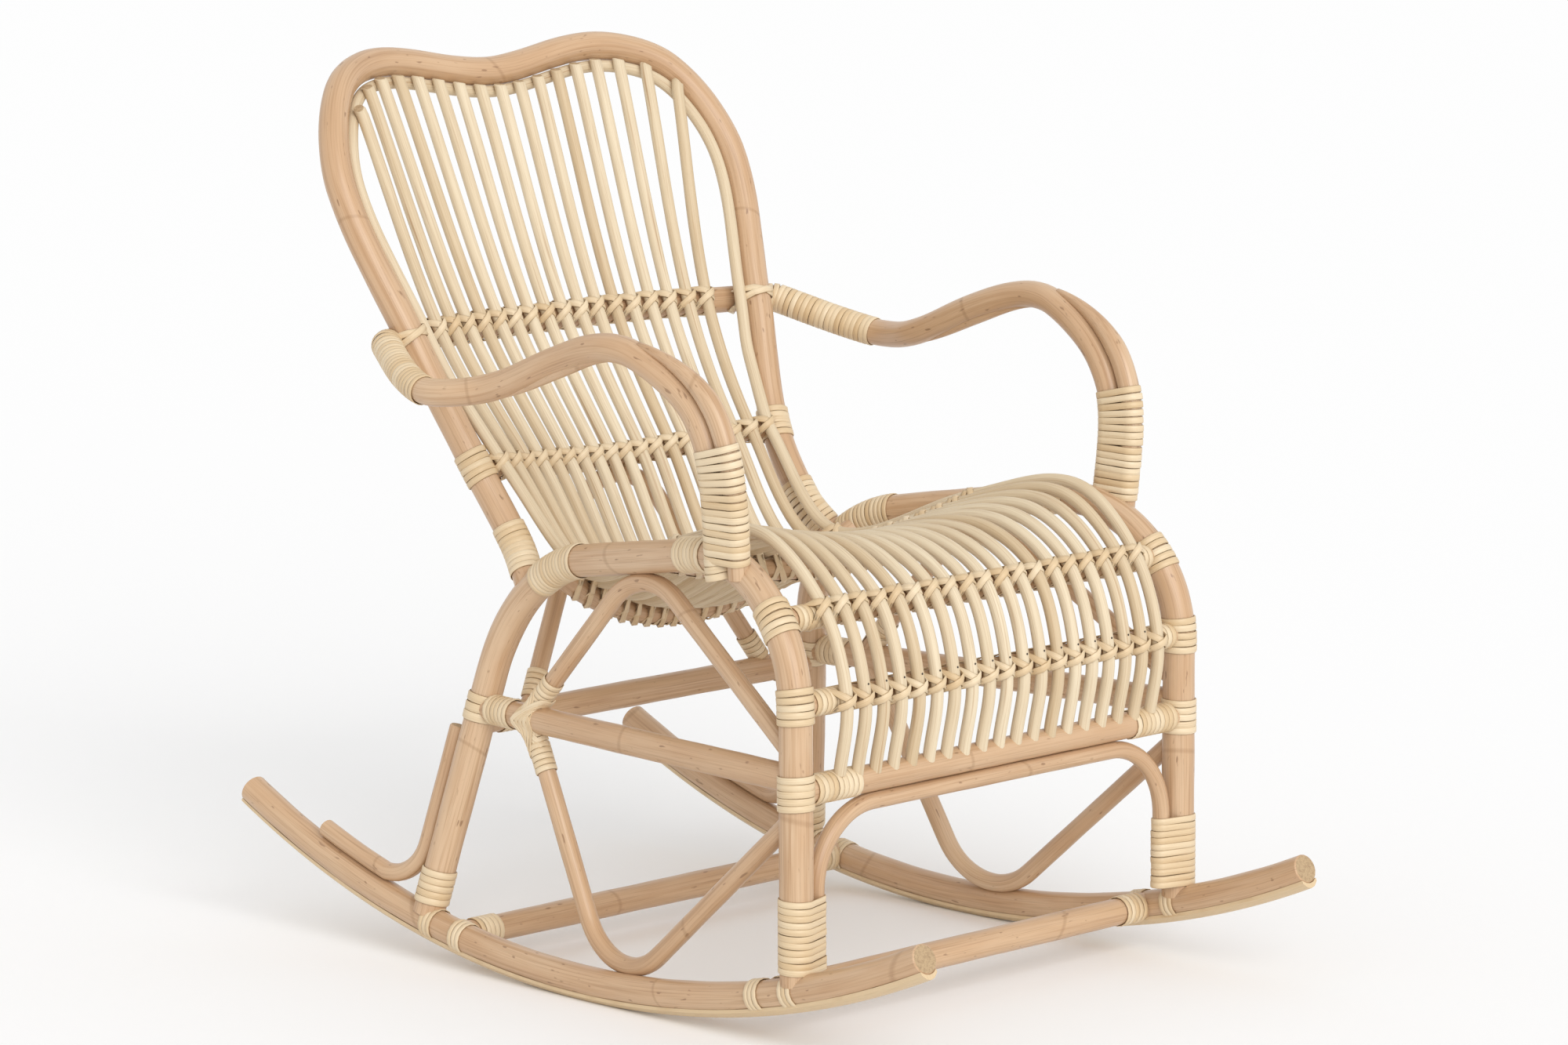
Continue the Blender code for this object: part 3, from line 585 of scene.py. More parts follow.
# Node trees for what repeats
def newTree(name, sockets):
    tree = bpy.data.node_groups.new(name, "GeometryNodeTree")
    tree.interface.new_socket("Geometry", in_out="INPUT", socket_type="NodeSocketGeometry")
    for label, kind in sockets.items():
        tree.interface.new_socket(label, in_out="INPUT", socket_type="NodeSocket" + kind)
    tree.interface.new_socket("Geometry", in_out="OUTPUT", socket_type="NodeSocketGeometry")
    given = tree.nodes.new("NodeGroupInput").outputs
    made = tree.nodes.new("NodeGroupOutput").inputs[0]
    return tree, given, made


# Turns each copy's Z to one way and its other axis to a way that the points carry
def facedTo(tree, zWay, axis, name):
    kind = "FunctionNodeAlignRotationToVector"
    rotation = addNode(tree, kind, {"Vector": zWay}, axis="Z")
    way = addNode(tree, "GeometryNodeInputNamedAttribute", {"Name": name}, data_type="FLOAT_VECTOR")
    return addNode(tree, kind, {"Rotation": rotation, "Vector": way}, axis=axis, pivot_axis="Z")


# Small turns about the three axes, different for each copy
def loosened(tree, rotation, tilt, loose, seed):
    under = addNode(tree, "ShaderNodeMath", {0: loose, 1: -1.0}, operation="MULTIPLY")
    least = addNode(tree, "ShaderNodeMath", {0: tilt, 1: loose}, operation="SUBTRACT")
    most = addNode(tree, "ShaderNodeMath", {0: tilt, 1: loose}, operation="ADD")
    low = addNode(tree, "ShaderNodeCombineXYZ", {0: least, 1: under, 2: under})
    high = addNode(tree, "ShaderNodeCombineXYZ", {0: most, 1: loose, 2: loose})
    values = {0: low, 1: high, "Seed": seed}
    turn = addNode(tree, "FunctionNodeRandomValue", values, data_type="FLOAT_VECTOR")
    values = {"Rotation": rotation, "Rotate By": turn}
    return addNode(tree, "FunctionNodeRotateRotation", values, rotation_space="LOCAL")


# Copies on points become one mesh, and each copy keeps a tone of its own
def copied(tree, points, instance, rotation, seed, material, made):
    values = {"Points": points, "Instance": instance, "Rotation": rotation}
    copies = addNode(tree, "GeometryNodeInstanceOnPoints", values)
    values = {2: 0.0, 3: 1.0, "Seed": seed}
    tone = addNode(tree, "FunctionNodeRandomValue", values, output=1, data_type="FLOAT")
    values = {"Geometry": copies, "Name": "tone", "Value": tone}
    copies = addNode(tree, "GeometryNodeStoreNamedAttribute", values, domain="INSTANCE", data_type="FLOAT")
    solid = addNode(tree, "GeometryNodeRealizeInstances", {0: copies})
    looks = addNode(tree, "GeometryNodeSetMaterial", {"Geometry": solid, "Material": material})
    tree.links.new(looks, made)


# Turns of peel side by side along a path: an outline swept with the strip's section at even steps
def makeTurnsTree():
    sockets = {"Outline": "Object", "Section": "Object", "Pitch": "Float", "Thickness": "Float"}
    sockets.update({"Tilt": "Float", "Loose": "Float", "Seed": "Int", "Peel": "Material"})
    tree, given, made = newTree("peelTurns", sockets)
    path = addNode(tree, "GeometryNodeMeshToCurve", {0: given["Geometry"]})
    values = {"Curve": path, "Length": given["Pitch"]}
    line = addNode(tree, "GeometryNodeCurveToPoints", values, mode="LENGTH").node.outputs
    rotation = facedTo(tree, line["Tangent"], "X", "facing")
    rotation = loosened(tree, rotation, given["Tilt"], given["Loose"], given["Seed"])
    here = addNode(tree, "GeometryNodeInputPosition")
    spot = addNode(tree, "ShaderNodeSeparateXYZ", {0: here}).node.outputs
    rise = addNode(tree, "ShaderNodeMath", {0: spot[0], 1: given["Thickness"]}, operation="DIVIDE")
    low = addNode(tree, "ShaderNodeMath", {0: 1.0, 1: rise}, operation="SUBTRACT")
    curves = {}
    for label in ("Outline", "Section"):
        values = {"Object": given[label]}
        curves[label] = addNode(
            tree, "GeometryNodeObjectInfo", values, output="Geometry", transform_space="RELATIVE"
        )
    # The edge value places the painted shade of the grooves between turns: none on the strip's top, full
    # at its sides
    for label, name, value, kind in (
        ("Outline", "turnSpace", here, "FLOAT_VECTOR"),
        ("Section", "across", spot[1], "FLOAT"),
        ("Section", "edge", low, "FLOAT"),
    ):
        values = {"Geometry": curves[label], "Name": name, "Value": value}
        curves[label] = addNode(
            tree, "GeometryNodeStoreNamedAttribute", values, domain="POINT", data_type=kind
        )
    values = {"Curve": curves["Outline"], "Profile Curve": curves["Section"]}
    ring = addNode(tree, "GeometryNodeCurveToMesh", values)
    copied(tree, line["Points"], ring, rotation, given["Seed"], given["Peel"], made)
    return tree


# One shape set down on points, with its Z on outWay and its Y on rodWay
def makeScatterTree():
    sockets = {"Shape": "Object", "Loose": "Float", "Seed": "Int", "Looks": "Material"}
    tree, given, made = newTree("lashings", sockets)
    out = addNode(tree, "GeometryNodeInputNamedAttribute", {"Name": "outWay"}, data_type="FLOAT_VECTOR")
    rotation = facedTo(tree, out, "Y", "rodWay")
    rotation = loosened(tree, rotation, 0.0, given["Loose"], given["Seed"])
    points = addNode(tree, "GeometryNodeMeshToPoints", {0: given["Geometry"]})
    values = {"Object": given["Shape"]}
    shape = addNode(tree, "GeometryNodeObjectInfo", values, output="Geometry", transform_space="RELATIVE")
    copied(tree, points, shape, rotation, given["Seed"], given["Looks"], made)
    return tree


turnsTree = makeTurnsTree()
scatterTree = makeScatterTree()
seeds = itertools.count(1)


# Runs a tree on a source mesh and keeps the result as a plain mesh
def grow(name, sourceMesh, tree, values):
    source = addObject(name + "Source", sourceMesh)
    modifier = source.modifiers.new(name, "NODES")
    modifier.node_group = tree
    for item in tree.interface.items_tree:
        if item.item_type == "SOCKET" and item.in_out == "INPUT" and item.name in values:
            modifier[item.identifier] = values[item.name]
    bpy.context.view_layer.update()
    depsgraph = bpy.context.evaluated_depsgraph_get()
    mesh = bpy.data.meshes.new_from_object(source.evaluated_get(depsgraph))
    mesh.name = name
    source.modifiers.remove(modifier)
    bpy.data.objects.remove(source)
    turnOutward(mesh)
    return mesh


def closedCurve(name, points):
    data = bpy.data.curves.new(name, "CURVE")
    data.dimensions = "3D"
    spline = data.splines.new("POLY")
    spline.points.add(len(points) - 1)
    for corner, (x, y) in zip(spline.points, points):
        corner.co = (x, y, 0, 1)
    spline.use_cyclic_u = True
    return addObject(name, data)


# The outline round one pole, or round two whose centres are a distance apart along x
def outlinePoints(radius, sides, second=0.0, apart=0.0):
    clear = 1 / math.cos(math.pi / sides)
    points = []
    for side in range(sides):
        angle = 2 * math.pi * side / sides
        way = Vector((math.cos(angle), math.sin(angle)))
        one = way * (radius * clear)
        two = way * (second * clear) + Vector((apart, 0))
        points.append(max(one, two, key=way.dot) if second else one)
    return [tuple(point) for point in points]


# Peel wound on paths. Each path comes with the way that its outline faces.
windSet = {
    "thickness": 0.0009,
    "overlap": 1.05,
    "crown": 0.78,
    "tilt": 0.05,
    "loose": 0.02,
    "slack": 0.0002,
}


def wind(name, paths, outline, pitch, solid=False, tilt=windSet["tilt"]):
    points = []
    edges = []
    facings = []
    for path, facing in paths:
        turns = max(1, round(lengthOf(path) / pitch))
        path = runOf(path, 0, turns * pitch + windSet["slack"])
        edges += [(len(points) + step, len(points) + step + 1) for step in range(len(path) - 1)]
        points += path
        facings += [tuple(out) for travel, out in framesAlong(path, facing)]
    line = bpy.data.meshes.new(name + "Line")
    line.from_pydata([tuple(point) for point in points], edges, [])
    setAttribute(line, "facing", facings)
    half = pitch * windSet["overlap"] / 2
    crown = half * windSet["crown"]
    thickness = windSet["thickness"]
    section = [(0, -half), (thickness, -crown), (thickness, crown), (0, half)]
    values = {
        "Outline": closedCurve(name + "Outline", outline),
        "Section": closedCurve(name + "Section", section),
        "Pitch": pitch,
        "Thickness": thickness,
        "Tilt": tilt,
        "Loose": windSet["loose"],
        "Seed": next(seeds),
        "Peel": peelStrip,
    }
    mesh = grow(name, line, turnsTree, values)
    bpy.data.objects.remove(values["Outline"])
    bpy.data.objects.remove(values["Section"])
    addPiece(name, mesh, solid)


# Bands of peel as one mesh. Each band has its points and the ways that its upper face looks there.
bandSection = ((-0.5, 0.0), (-0.42, 1.0), (0.42, 1.0), (0.5, 0.0))


def bandsMesh(name, bands, width, thickness, closed, materials, tones=None):
    points = []
    faces = []
    attributes = {"across": [], "edge": [], "turnSpace": []}
    corners = len(bandSection)
    for line, normals in bands:
        first = len(points)
        count = len(line)
        for index, place in enumerate(line):
            before = line[(index - 1) % count] if closed else line[max(index - 1, 0)]
            after = line[(index + 1) % count] if closed else line[min(index + 1, count - 1)]
            travel = (after - before).normalized()
            normal = (normals[index] - travel * normals[index].dot(travel)).normalized()
            side = normal.cross(travel)
            for share, rise in bandSection:
                points.append(place + side * (share * width) + normal * (rise * thickness))
                attributes["across"].append(share * width)
                # The edge value places the painted shade: none on the band's top, full at its sides
                attributes["edge"].append(1.0 - rise)
                attributes["turnSpace"].append(tuple(place))
        for index in range(count if closed else count - 1):
            low = first + index * corners
            high = first + (index + 1) % count * corners
            for corner in range(corners):
                after = (corner + 1) % corners
                faces.append((low + corner, low + after, high + after, high + corner))
        if not closed:
            faces.append(tuple(reversed(range(first, first + corners))))
            faces.append(tuple(range(len(points) - corners, len(points))))
    if tones:
        attributes["tone"] = []
        for (line, normals), tone in zip(bands, tones):
            attributes["tone"] += [tone] * len(line) * corners
    return newMesh(name, points, faces, materials, None, attributes)


# Sets a shape down at places, each a point with its outward way and its rod's way
def scatter(name, shape, places, looks, loose):
    source = bpy.data.meshes.new(name + "Points")
    source.from_pydata([tuple(place) for place, out, rod in places], [], [])
    setAttribute(source, "outWay", [tuple(out) for place, out, rod in places])
    setAttribute(source, "rodWay", [tuple(rod) for place, out, rod in places])
    values = {"Shape": shape, "Loose": loose, "Seed": next(seeds), "Looks": looks}
    mesh = grow(name, source, scatterTree, values)
    bpy.data.objects.remove(shape)
    addPiece(name, mesh, False)


# Rockers with a thin wear strip under each
rockerSet = {
    "radius": 1.12,
    "diameter": 0.029,
    "ahead": 0.4626,
    "behind": 0.5086,
    "flat": 0.090,
    "stripWidth": 0.020,
    "stripThickness": 0.005,
    "stripEdge": 0.35,
    "stripShares": (-1.0, -0.5, 0.0, 0.5, 1.0),
    "stripTone": 0.8,
    "spacing": 0.530,
}
rockerArc = rockerSet["radius"]
rockerRadius = rockerSet["diameter"] / 2
stripInner = rockerArc + rockerRadius + fit
stripOuter = stripInner + rockerSet["stripThickness"]
lowY = (rockerSet["ahead"] - rockerSet["behind"]) / 2
arcHeight = stripOuter * math.cos(rockerSet["flat"] / rockerArc / 2)
halfLegs = rockerSet["spacing"] / 2
rockerEnds = (-math.asin(rockerSet["ahead"] / stripOuter), math.asin(rockerSet["behind"] / stripOuter))


def arcPoint(x, angle, radius):
    return Vector((x, lowY + radius * math.sin(angle), arcHeight - radius * math.cos(angle)))


def arcHeightAt(y, radius):
    return arcHeight - math.sqrt(radius**2 - (y - lowY) ** 2)


def arcPath(x, radius, steps=90):
    start, end = rockerEnds
    return [arcPoint(x, start + (end - start) * step / steps, radius) for step in range(steps + 1)]


rockerPath = arcPath(halfLegs, rockerArc)


# The strip hugs the rocker, thins towards its edges and is level where the rocker stands
def addStrip(name, side):
    half = rockerSet["stripWidth"] / 2
    shares = rockerSet["stripShares"]
    section = []
    for face, order in ((0, shares), (1, shares[::-1])):
        for share in order:
            hug = rockerRadius - math.sqrt(rockerRadius**2 - (share * half) ** 2)
            thickness = rockerSet["stripThickness"] * (1 - rockerSet["stripEdge"] * share**2)
            section.append((share * half, stripInner + face * thickness - hug))
    points = []
    attributes = {"across": [], "turnSpace": []}
    lines = [arcPath(side * halfLegs, radius) for width, radius in section]
    for ring in zip(*lines):
        for place, (width, radius) in zip(ring, section):
            place.z = max(place.z, 0.0)
            points.append(place + across * width)
            attributes["across"].append(width)
            attributes["turnSpace"].append(tuple(place))
    # No painted shade along the strip's edges
    attributes["edge"] = [0.0] * len(points)
    attributes["tone"] = [rockerSet["stripTone"]] * len(points)
    corners = len(section)
    faces = ringFaces(len(lines[0]), corners)
    faces.append(tuple(reversed(range(corners))))
    faces.append(tuple(range(len(points) - corners, len(points))))
    addPiece(name, newMesh(name, points, faces, [peelStrip], None, attributes), True)


for side, label in sideNames.items():
    addPole("rocker_" + label, flipped(rockerPath, side), rockerSet["diameter"], poleSides)
    addStrip("rockerStrip_" + label, side)
print("rockers made")

# Side frames: front leg, seat rail and rear leg bent from one pole
sideSet = {
    "diameter": 0.032,
    "frontAhead": 0.289,
    "rearBehind": 0.230,
    "cornerHeight": 0.473,
    "seatDepth": 0.446,
    "seatDrop": 0.073,
    "waist": 0.404,
    "footRise": 0.005,
    "frontBend": 0.130,
    "rearBend": 0.155,
}
sideRadius = sideSet["diameter"] / 2
frontY = lowY - sideSet["frontAhead"]
rearFootY = lowY + sideSet["rearBehind"]
rearCornerY = frontY + sideSet["seatDepth"]
sidePath = rounded(
    [
        Vector((halfLegs, frontY, arcHeightAt(frontY, rockerArc) + sideSet["footRise"])),
        Vector((halfLegs, frontY, sideSet["cornerHeight"])),
        Vector((sideSet["waist"] / 2, rearCornerY, sideSet["cornerHeight"] - sideSet["seatDrop"])),
        Vector((halfLegs, rearFootY, arcHeightAt(rearFootY, rockerArc) + sideSet["footRise"])),
    ],
    [sideSet["frontBend"], sideSet["rearBend"]],
)
sideFromRear = list(reversed(sidePath))
for side, label in sideNames.items():
    addPole("sideFrame_" + label, flipped(sidePath, side), sideSet["diameter"], thickSides)

# Back hoop: camel-backed, raked and bowed backwards at the crest. The widths and rises go from its waist,
# past the arms and the shoulders, to the middle of its top.
hoopSet = {
    "diameter": 0.030,
    "footRise": 0.008,
    "ankle": (0.199, 0.009, 0.418),
    "waistBehind": 0.041,
    "waistHeight": 0.450,
    "widths": (0.411, 0.475, 0.532, 0.452, 0.296, 0.0),
    "rises": (0.040, 0.167, 0.312, 0.398, 0.423, 0.4055),
    "rake": math.radians(25),
    "crestBow": 0.045,
    "crestPower": 4,
}
hoopRadius = hoopSet["diameter"] / 2
waistHeight = hoopSet["waistHeight"]
waistRise, armRise, shoulderRise = hoopSet["rises"][:3]
shoulderWidth = hoopSet["widths"][2]
rake = hoopSet["rake"]
backFront = Vector((0, -math.cos(rake), math.sin(rake)))


def hoopPoint(width, rise):
    crest = (rise / max(hoopSet["rises"])) ** hoopSet["crestPower"]
    bow = hoopSet["crestBow"] * (1 - (width / shoulderWidth) ** 2) * crest
    y = rearCornerY + hoopSet["waistBehind"] + math.tan(rake) * rise + bow
    return Vector((width / 2, y, waistHeight + rise))


hoopAnkle = Vector(hoopSet["ankle"]) + backward * rearCornerY
hoopSeat = nearest(sidePath, hoopAnkle)[0]
hoopFoot = hoopSeat + (hoopAnkle - hoopSeat).normalized() * hoopSet["footRise"]
leftHoop = [hoopFoot, hoopAnkle]
leftHoop += [hoopPoint(width, rise) for width, rise in zip(hoopSet["widths"], hoopSet["rises"])]
hoopPath = smooth(mirrored(leftHoop)[:-1] + list(reversed(leftHoop)))
leftHoopPath = list(reversed(hoopPath))[: len(hoopPath) // 2 + 1]
addPole("backHoop", hoopPath, hoopSet["diameter"], thickSides, facing=backFront)
print("frames and hoop made")

# Rods: their number, their thickness, and where they end
rodSet = {
    "count": 19,
    "diameter": 0.0124,
    "topInset": 0.023,
    "topSink": -0.004,
    "endRise": 0.010,
    "endAhead": 0.0065,
    "endSlopes": (0.55, -0.75),
    "crestSetback": 0.095,
    "crestRise": 0.026,
    "liningGap": 0.0008,
    "liningRise": 0.110,
    "liningEasing": 4,
}
rodRadius = rodSet["diameter"] / 2


def rodShare(rod):
    return 2 * rod / (rodSet["count"] - 1) - 1


# Cross rails. The rods lie on one side of each, at even places.
class Rail:
    def __init__(self, end, bow, inset, side, radius):
        self.end = end
        self.bow = bow
        self.halfSpread = end.x - inset
        self.side = side.normalized()
        self.radius = radius

    def place(self, x):
        return Vector((x, self.end.y, self.end.z)) + self.bow * (1 - (x / self.end.x) ** 2)

    def path(self, steps=60):
        return [self.place(self.end.x * (2 * step / steps - 1)) for step in range(steps + 1)]

    def rodPlace(self, rod):
        x = self.halfSpread * rodShare(rod)
        slope = self.bow.dot(self.side) * 2 * x / self.end.x**2
        reach = (self.radius + rodRadius + fit) * math.sqrt(1 + slope**2)
        return self.place(x) + self.side * reach


def frameNormal(axis, value):
    a, b = spanAt(sidePath, axis, value)
    return Vector((0, a.z - b.z, b.y - a.y))


railSet = {
    "diameter": 0.022,
    "bottomDiameter": 0.026,
    "upperDiameter": 0.027,
    "bottomHeight": 0.245,
    "midHeight": 0.326,
    "kneeHeight": 0.401,
    "seatMidSetback": 0.220,
    "seatRearSetback": 0.385,
    "upperLift": 0.006,
    "spliceReach": 0.020,
    "spliceTurn": 0.016,
    "spliceEasing": 3,
    "rearLean": math.radians(35),
    "rodInsets": {
        "frontMidRail": 0.050,
        "frontKneeRail": 0.046,
        "seatMidRail": 0.032,
        "seatRearRail": 0.0395,
        "lowerBackRail": 0.0225,
        "upperBackRail": 0.0305,
    },
    "bows": {
        "frontMidRail": (0, 0, 0),
        "frontKneeRail": (0, 0, 0),
        "seatMidRail": (0, 0, -0.035),
        "seatRearRail": (0, 0.034, -0.070),
        "lowerBackRail": (0, 0.022, -0.012),
        "upperBackRail": (0, 0.030, 0),
    },
}
railRadius = railSet["diameter"] / 2
upperRadius = railSet["upperDiameter"] / 2
seatMidY = frontY + railSet["seatMidSetback"]
bottomEnd = crossing(sidePath, 2, railSet["bottomHeight"])
midEnd = crossing(sidePath, 2, railSet["midHeight"])
kneeEnd = crossing(sidePath, 2, railSet["kneeHeight"])
seatMidEnd = crossing(sidePath, 1, seatMidY)
seatRearEnd = crossing(sidePath, 1, frontY + railSet["seatRearSetback"])
lowerEnd = crossing(leftHoopPath, 2, waistHeight + waistRise)
hoopAtArm = crossing(leftHoopPath, 2, waistHeight + armRise)
upperEnd = hoopAtArm - backFront * (hoopRadius + upperRadius + fit - bite) + upward * railSet["upperLift"]
splice = upperEnd + Vector((railSet["spliceReach"], -railSet["spliceTurn"], 0))
rearLean = Vector((0, -math.sin(railSet["rearLean"]), math.cos(railSet["rearLean"])))
rails = {}
for name, end, facing, radius in (
    ("frontMidRail", midEnd, frameNormal(2, railSet["midHeight"]), railRadius),
    ("frontKneeRail", kneeEnd, frameNormal(2, railSet["kneeHeight"]), railRadius),
    ("seatMidRail", seatMidEnd, frameNormal(1, seatMidY), railRadius),
    ("seatRearRail", seatRearEnd, rearLean, railRadius),
    ("lowerBackRail", lowerEnd, backFront, railRadius),
    ("upperBackRail", upperEnd, backFront, upperRadius),
):
    rail = Rail(end, Vector(railSet["bows"][name]), railSet["rodInsets"][name], facing, radius)
    rails[name] = rail
    path = rail.path()
    if name == "upperBackRail":
        path = mirrored([splice]) + path + [splice]
        path = eased(runOf(path, 0, lengthOf(path)), railSet["spliceEasing"])
    addPole(name, path, 2 * radius, poleSides, facing=rail.side)
bottomPath = mirrored([bottomEnd]) + [bottomEnd]
addPole("frontBottomRail", bottomPath, railSet["bottomDiameter"], poleSides, facing=upward)
print("rails made")


# The rods run down the back, along the seat and over its front edge
def liningPlace(index):
    travel = (hoopPath[index + 1] - hoopPath[index - 1]).normalized()
    inward = travel.cross(backFront).normalized()
    return hoopPath[index] + inward * (hoopRadius + rodRadius + rodSet["liningGap"])


liningTop = []
for index in range(1, len(hoopPath) - 1):
    if hoopPath[index].z > waistHeight + rodSet["liningRise"]:
        liningTop.append(liningPlace(index))
liningCrest = [point for point in liningTop if point.z > waistHeight + shoulderRise]


def seatPoints(rod):
    knee = rails["frontKneeRail"].rodPlace(rod)
    mid = rails["seatMidRail"].rodPlace(rod)
    front = rails["frontMidRail"].rodPlace(rod)
    return [
        rails["lowerBackRail"].rodPlace(rod),
        rails["seatRearRail"].rodPlace(rod),
        mid,
        Vector((knee.x, frontY + rodSet["crestSetback"], mid.z + rodSet["crestRise"])),
        knee,
        front,
        Vector((front.x, frontY - rodSet["endAhead"], railSet["bottomHeight"] + rodSet["endRise"])),
    ]


def addRod(name, path, **more):
    addPole(name, path, rodSet["diameter"], rodSides, peeledRod, facing=backFront, **more)


rodPaths = {}
for rod in range(1, rodSet["count"] - 1):
    topX = (shoulderWidth / 2 - rodSet["topInset"]) * rodShare(rod)
    lining = crossing(liningCrest, 0, topX)
    touch = lining + backFront * (2 * rodRadius + fit)
    outward = (nearest(hoopPath, lining)[0] - lining).normalized()
    top = touch + outward * (rodRadius + rodSet["liningGap"] + rodSet["topSink"])
    rodPaths[rod] = [top] + smooth([touch, rails["upperBackRail"].rodPlace(rod)] + seatPoints(rod))
    addRod("spindle%02d" % rod, rodPaths[rod], slopes=rodSet["endSlopes"])
leftEnd = smooth(seatPoints(rodSet["count"] - 1))
liningPath = mirrored(list(reversed(leftEnd))) + liningTop + leftEnd
liningPath = eased(runOf(liningPath, 0, lengthOf(liningPath)), rodSet["liningEasing"])
addRod("backLiningRod", liningPath)
print("rods made")

# Arms: a main pole from post to back, with a second pole that tapers in ahead of its bend and a thin
# strip tucked under it behind the crest
armSet = {
    "diameter": 0.027,
    "secondDiameter": 0.021,
    "postSetback": 0.098,
    "postInset": 0.006,
    "footInset": 0.016,
    "footHeight": 0.436,
    "postTop": 0.540,
    "secondLength": 0.245,
    "secondTaper": 0.100,
    "tipDiameter": 0.006,
    "tipSink": 0.009,
    "underDiameter": 0.012,
    "underSink": 0.0015,
    "underStart": 0.270,
    "underLength": 0.175,
    "underTip": 0.15,
    "line": (
        (0.278, 0.124, 0.5945),
        (0.286, 0.188, 0.636),
        (0.289, 0.232, 0.641),
        (0.287, 0.292, 0.625),
        (0.292, 0.386, 0.589),
        (0.310, 0.452, 0.580),
        (0.299, 0.500, 0.589),
    ),
}
armRadius = armSet["diameter"] / 2
secondRadius = armSet["secondDiameter"] / 2
postSeat = crossing(sidePath, 1, frontY + armSet["postSetback"])
postX = postSeat.x + sideRadius + armRadius + fit
spliceWay = (splice - upperEnd).normalized()
armStart = splice + spliceWay * fit
armPoints = [
    Vector((postX - armSet["footInset"], postSeat.y, armSet["footHeight"])),
    Vector((postX - armSet["postInset"], postSeat.y, armSet["postTop"])),
]
armPoints += [Vector((x, frontY + setback, height)) for x, setback, height in armSet["line"]]
armPath = smooth(armPoints + [armStart + spliceWay * armRadius]) + [armStart]


def aheadOf(path, distances):
    moved = []
    for point, distance, (travel, out) in zip(path, distances, framesAlong(path, across)):
        moved.append(point + out.cross(travel) * distance)
    return moved


def secondTaper(distance, total):
    tip = armSet["tipDiameter"] / armSet["secondDiameter"]
    return tip + (1 - tip) * min(1.0, (total - distance) / armSet["secondTaper"])


# How far the second pole's axis stands off the arm: its tip is scarfed into it
def secondReach(share):
    sink = armSet["tipSink"] * max(0.0, 1 - share) ** 2
    return secondRadius * share - sink


def underTaper(distance, total):
    tip = armSet["underTip"]
    return tip + (1 - tip) * math.sin(math.pi * min(max(distance / total, 0.0), 1.0))


secondBase = runOf(armPath, 0, armSet["secondLength"])
secondMarks = marks(secondBase)
secondOffsets = [armRadius + fit + secondReach(secondTaper(mark, secondMarks[-1])) for mark in secondMarks]
secondPath = aheadOf(secondBase, secondOffsets)
underBase = runOf(armPath, armSet["underStart"], armSet["underLength"])
underPath = aheadOf(underBase, [armSet["underSink"] - armRadius] * len(underBase))
for side, label in sideNames.items():
    addPole("arm_" + label, flipped(armPath, side), armSet["diameter"], thickSides)
    second = flipped(secondPath, side)
    addPole("armSecondPole_" + label, second, armSet["secondDiameter"], poleSides, taper=secondTaper)
    name = "armUnderStrip_" + label
    under = flipped(underPath, side)
    addPole(name, under, armSet["underDiameter"], rodSides, solid=False, taper=underTaper)
print("arms made")

# Braces and stretchers
braceSet = {
    "diameter": 0.0185,
    "stretcherDiameter": 0.027,
    "heelDiameter": 0.018,
    "archDiameter": 0.017,
    "stretcherHeight": 0.257,
    "frontArchRadius": 0.075,
    "footClearance": 0.010,
    "archRadius": 0.076,
    "archTop": 0.232,
    "archFoot": 0.404,
    "archFrontRise": 0.020,
    "veeRadius": 0.070,
    "veeBottom": 0.246,
    "veeInset": 0.010,
    "veeFoot": 0.398,
    "veeFrontDrop": 0.034,
    "rearArchRadius": 0.064,
    "rearArchSpread": 0.332,
    "rearRailDrop": 0.014,
    "heelTop": 0.230,
    "heelBend": 0.045,
    "heelReach": 0.060,
    "heelLie": 0.100,
    "heelSteps": 8,
    "frontStretcherSetback": 0.040,
    "rearStretcherAhead": 0.048,
}
braceRadius = braceSet["diameter"] / 2
stretcherRadius = braceSet["stretcherDiameter"] / 2
frontArchRadius = braceSet["archDiameter"] / 2
heelRadius = braceSet["heelDiameter"] / 2
stretcherRear = crossing(sideFromRear, 2, braceSet["stretcherHeight"])
stretcherFront = crossing(sidePath, 2, braceSet["stretcherHeight"])
stretcherPath = [stretcherFront, stretcherRear]
rearRailEnd = crossing(sideFromRear, 2, braceSet["stretcherHeight"] - braceSet["rearRailDrop"])


def onStretcher(setback):
    share = (setback + frontY - stretcherFront.y) / (stretcherRear.y - stretcherFront.y)
    return stretcherFront.lerp(stretcherRear, share)


archTop = crossing(sidePath, 1, frontY + braceSet["archTop"]) - upward * (sideRadius + braceRadius - bite)
archPath = tangentArch(
    stretcherFront + upward * braceSet["archFrontRise"],
    onStretcher(braceSet["archFoot"]),
    archTop,
    braceSet["archRadius"],
)
veeY = frontY + braceSet["veeBottom"]
veeReach = rockerRadius + braceRadius - bite
veeHeight = arcHeightAt(veeY, rockerArc) + math.sqrt(veeReach**2 - braceSet["veeInset"] ** 2)
veePath = tangentArch(
    stretcherFront - upward * braceSet["veeFrontDrop"],
    onStretcher(braceSet["veeFoot"]),
    Vector((halfLegs - braceSet["veeInset"], veeY, veeHeight)),
    braceSet["veeRadius"],
)
legFoot = sidePath[-1]
legWay = (sidePath[-2] - legFoot).normalized()
legBehind = Vector((0, legWay.z, -legWay.y)).normalized()
heelTop = crossing(sideFromRear, 2, braceSet["heelTop"]) + legBehind * (sideRadius + heelRadius + fit)
lieRadius = rockerArc - rockerRadius - heelRadius - fit
lieStart = math.asin((rearFootY + braceSet["heelReach"] - lowY) / lieRadius)
lieStep = braceSet["heelLie"] / lieRadius / braceSet["heelSteps"]
heelLie = []
for step in range(braceSet["heelSteps"] + 1):
    heelLie.append(arcPoint(halfLegs, lieStart + lieStep * step, lieRadius))
heelCorner = heelTop + legWay * ((heelLie[0].z - heelTop.z) / legWay.z)
heelPath = rounded([heelTop, heelCorner, heelLie[0]], [braceSet["heelBend"]])[:-1] + heelLie
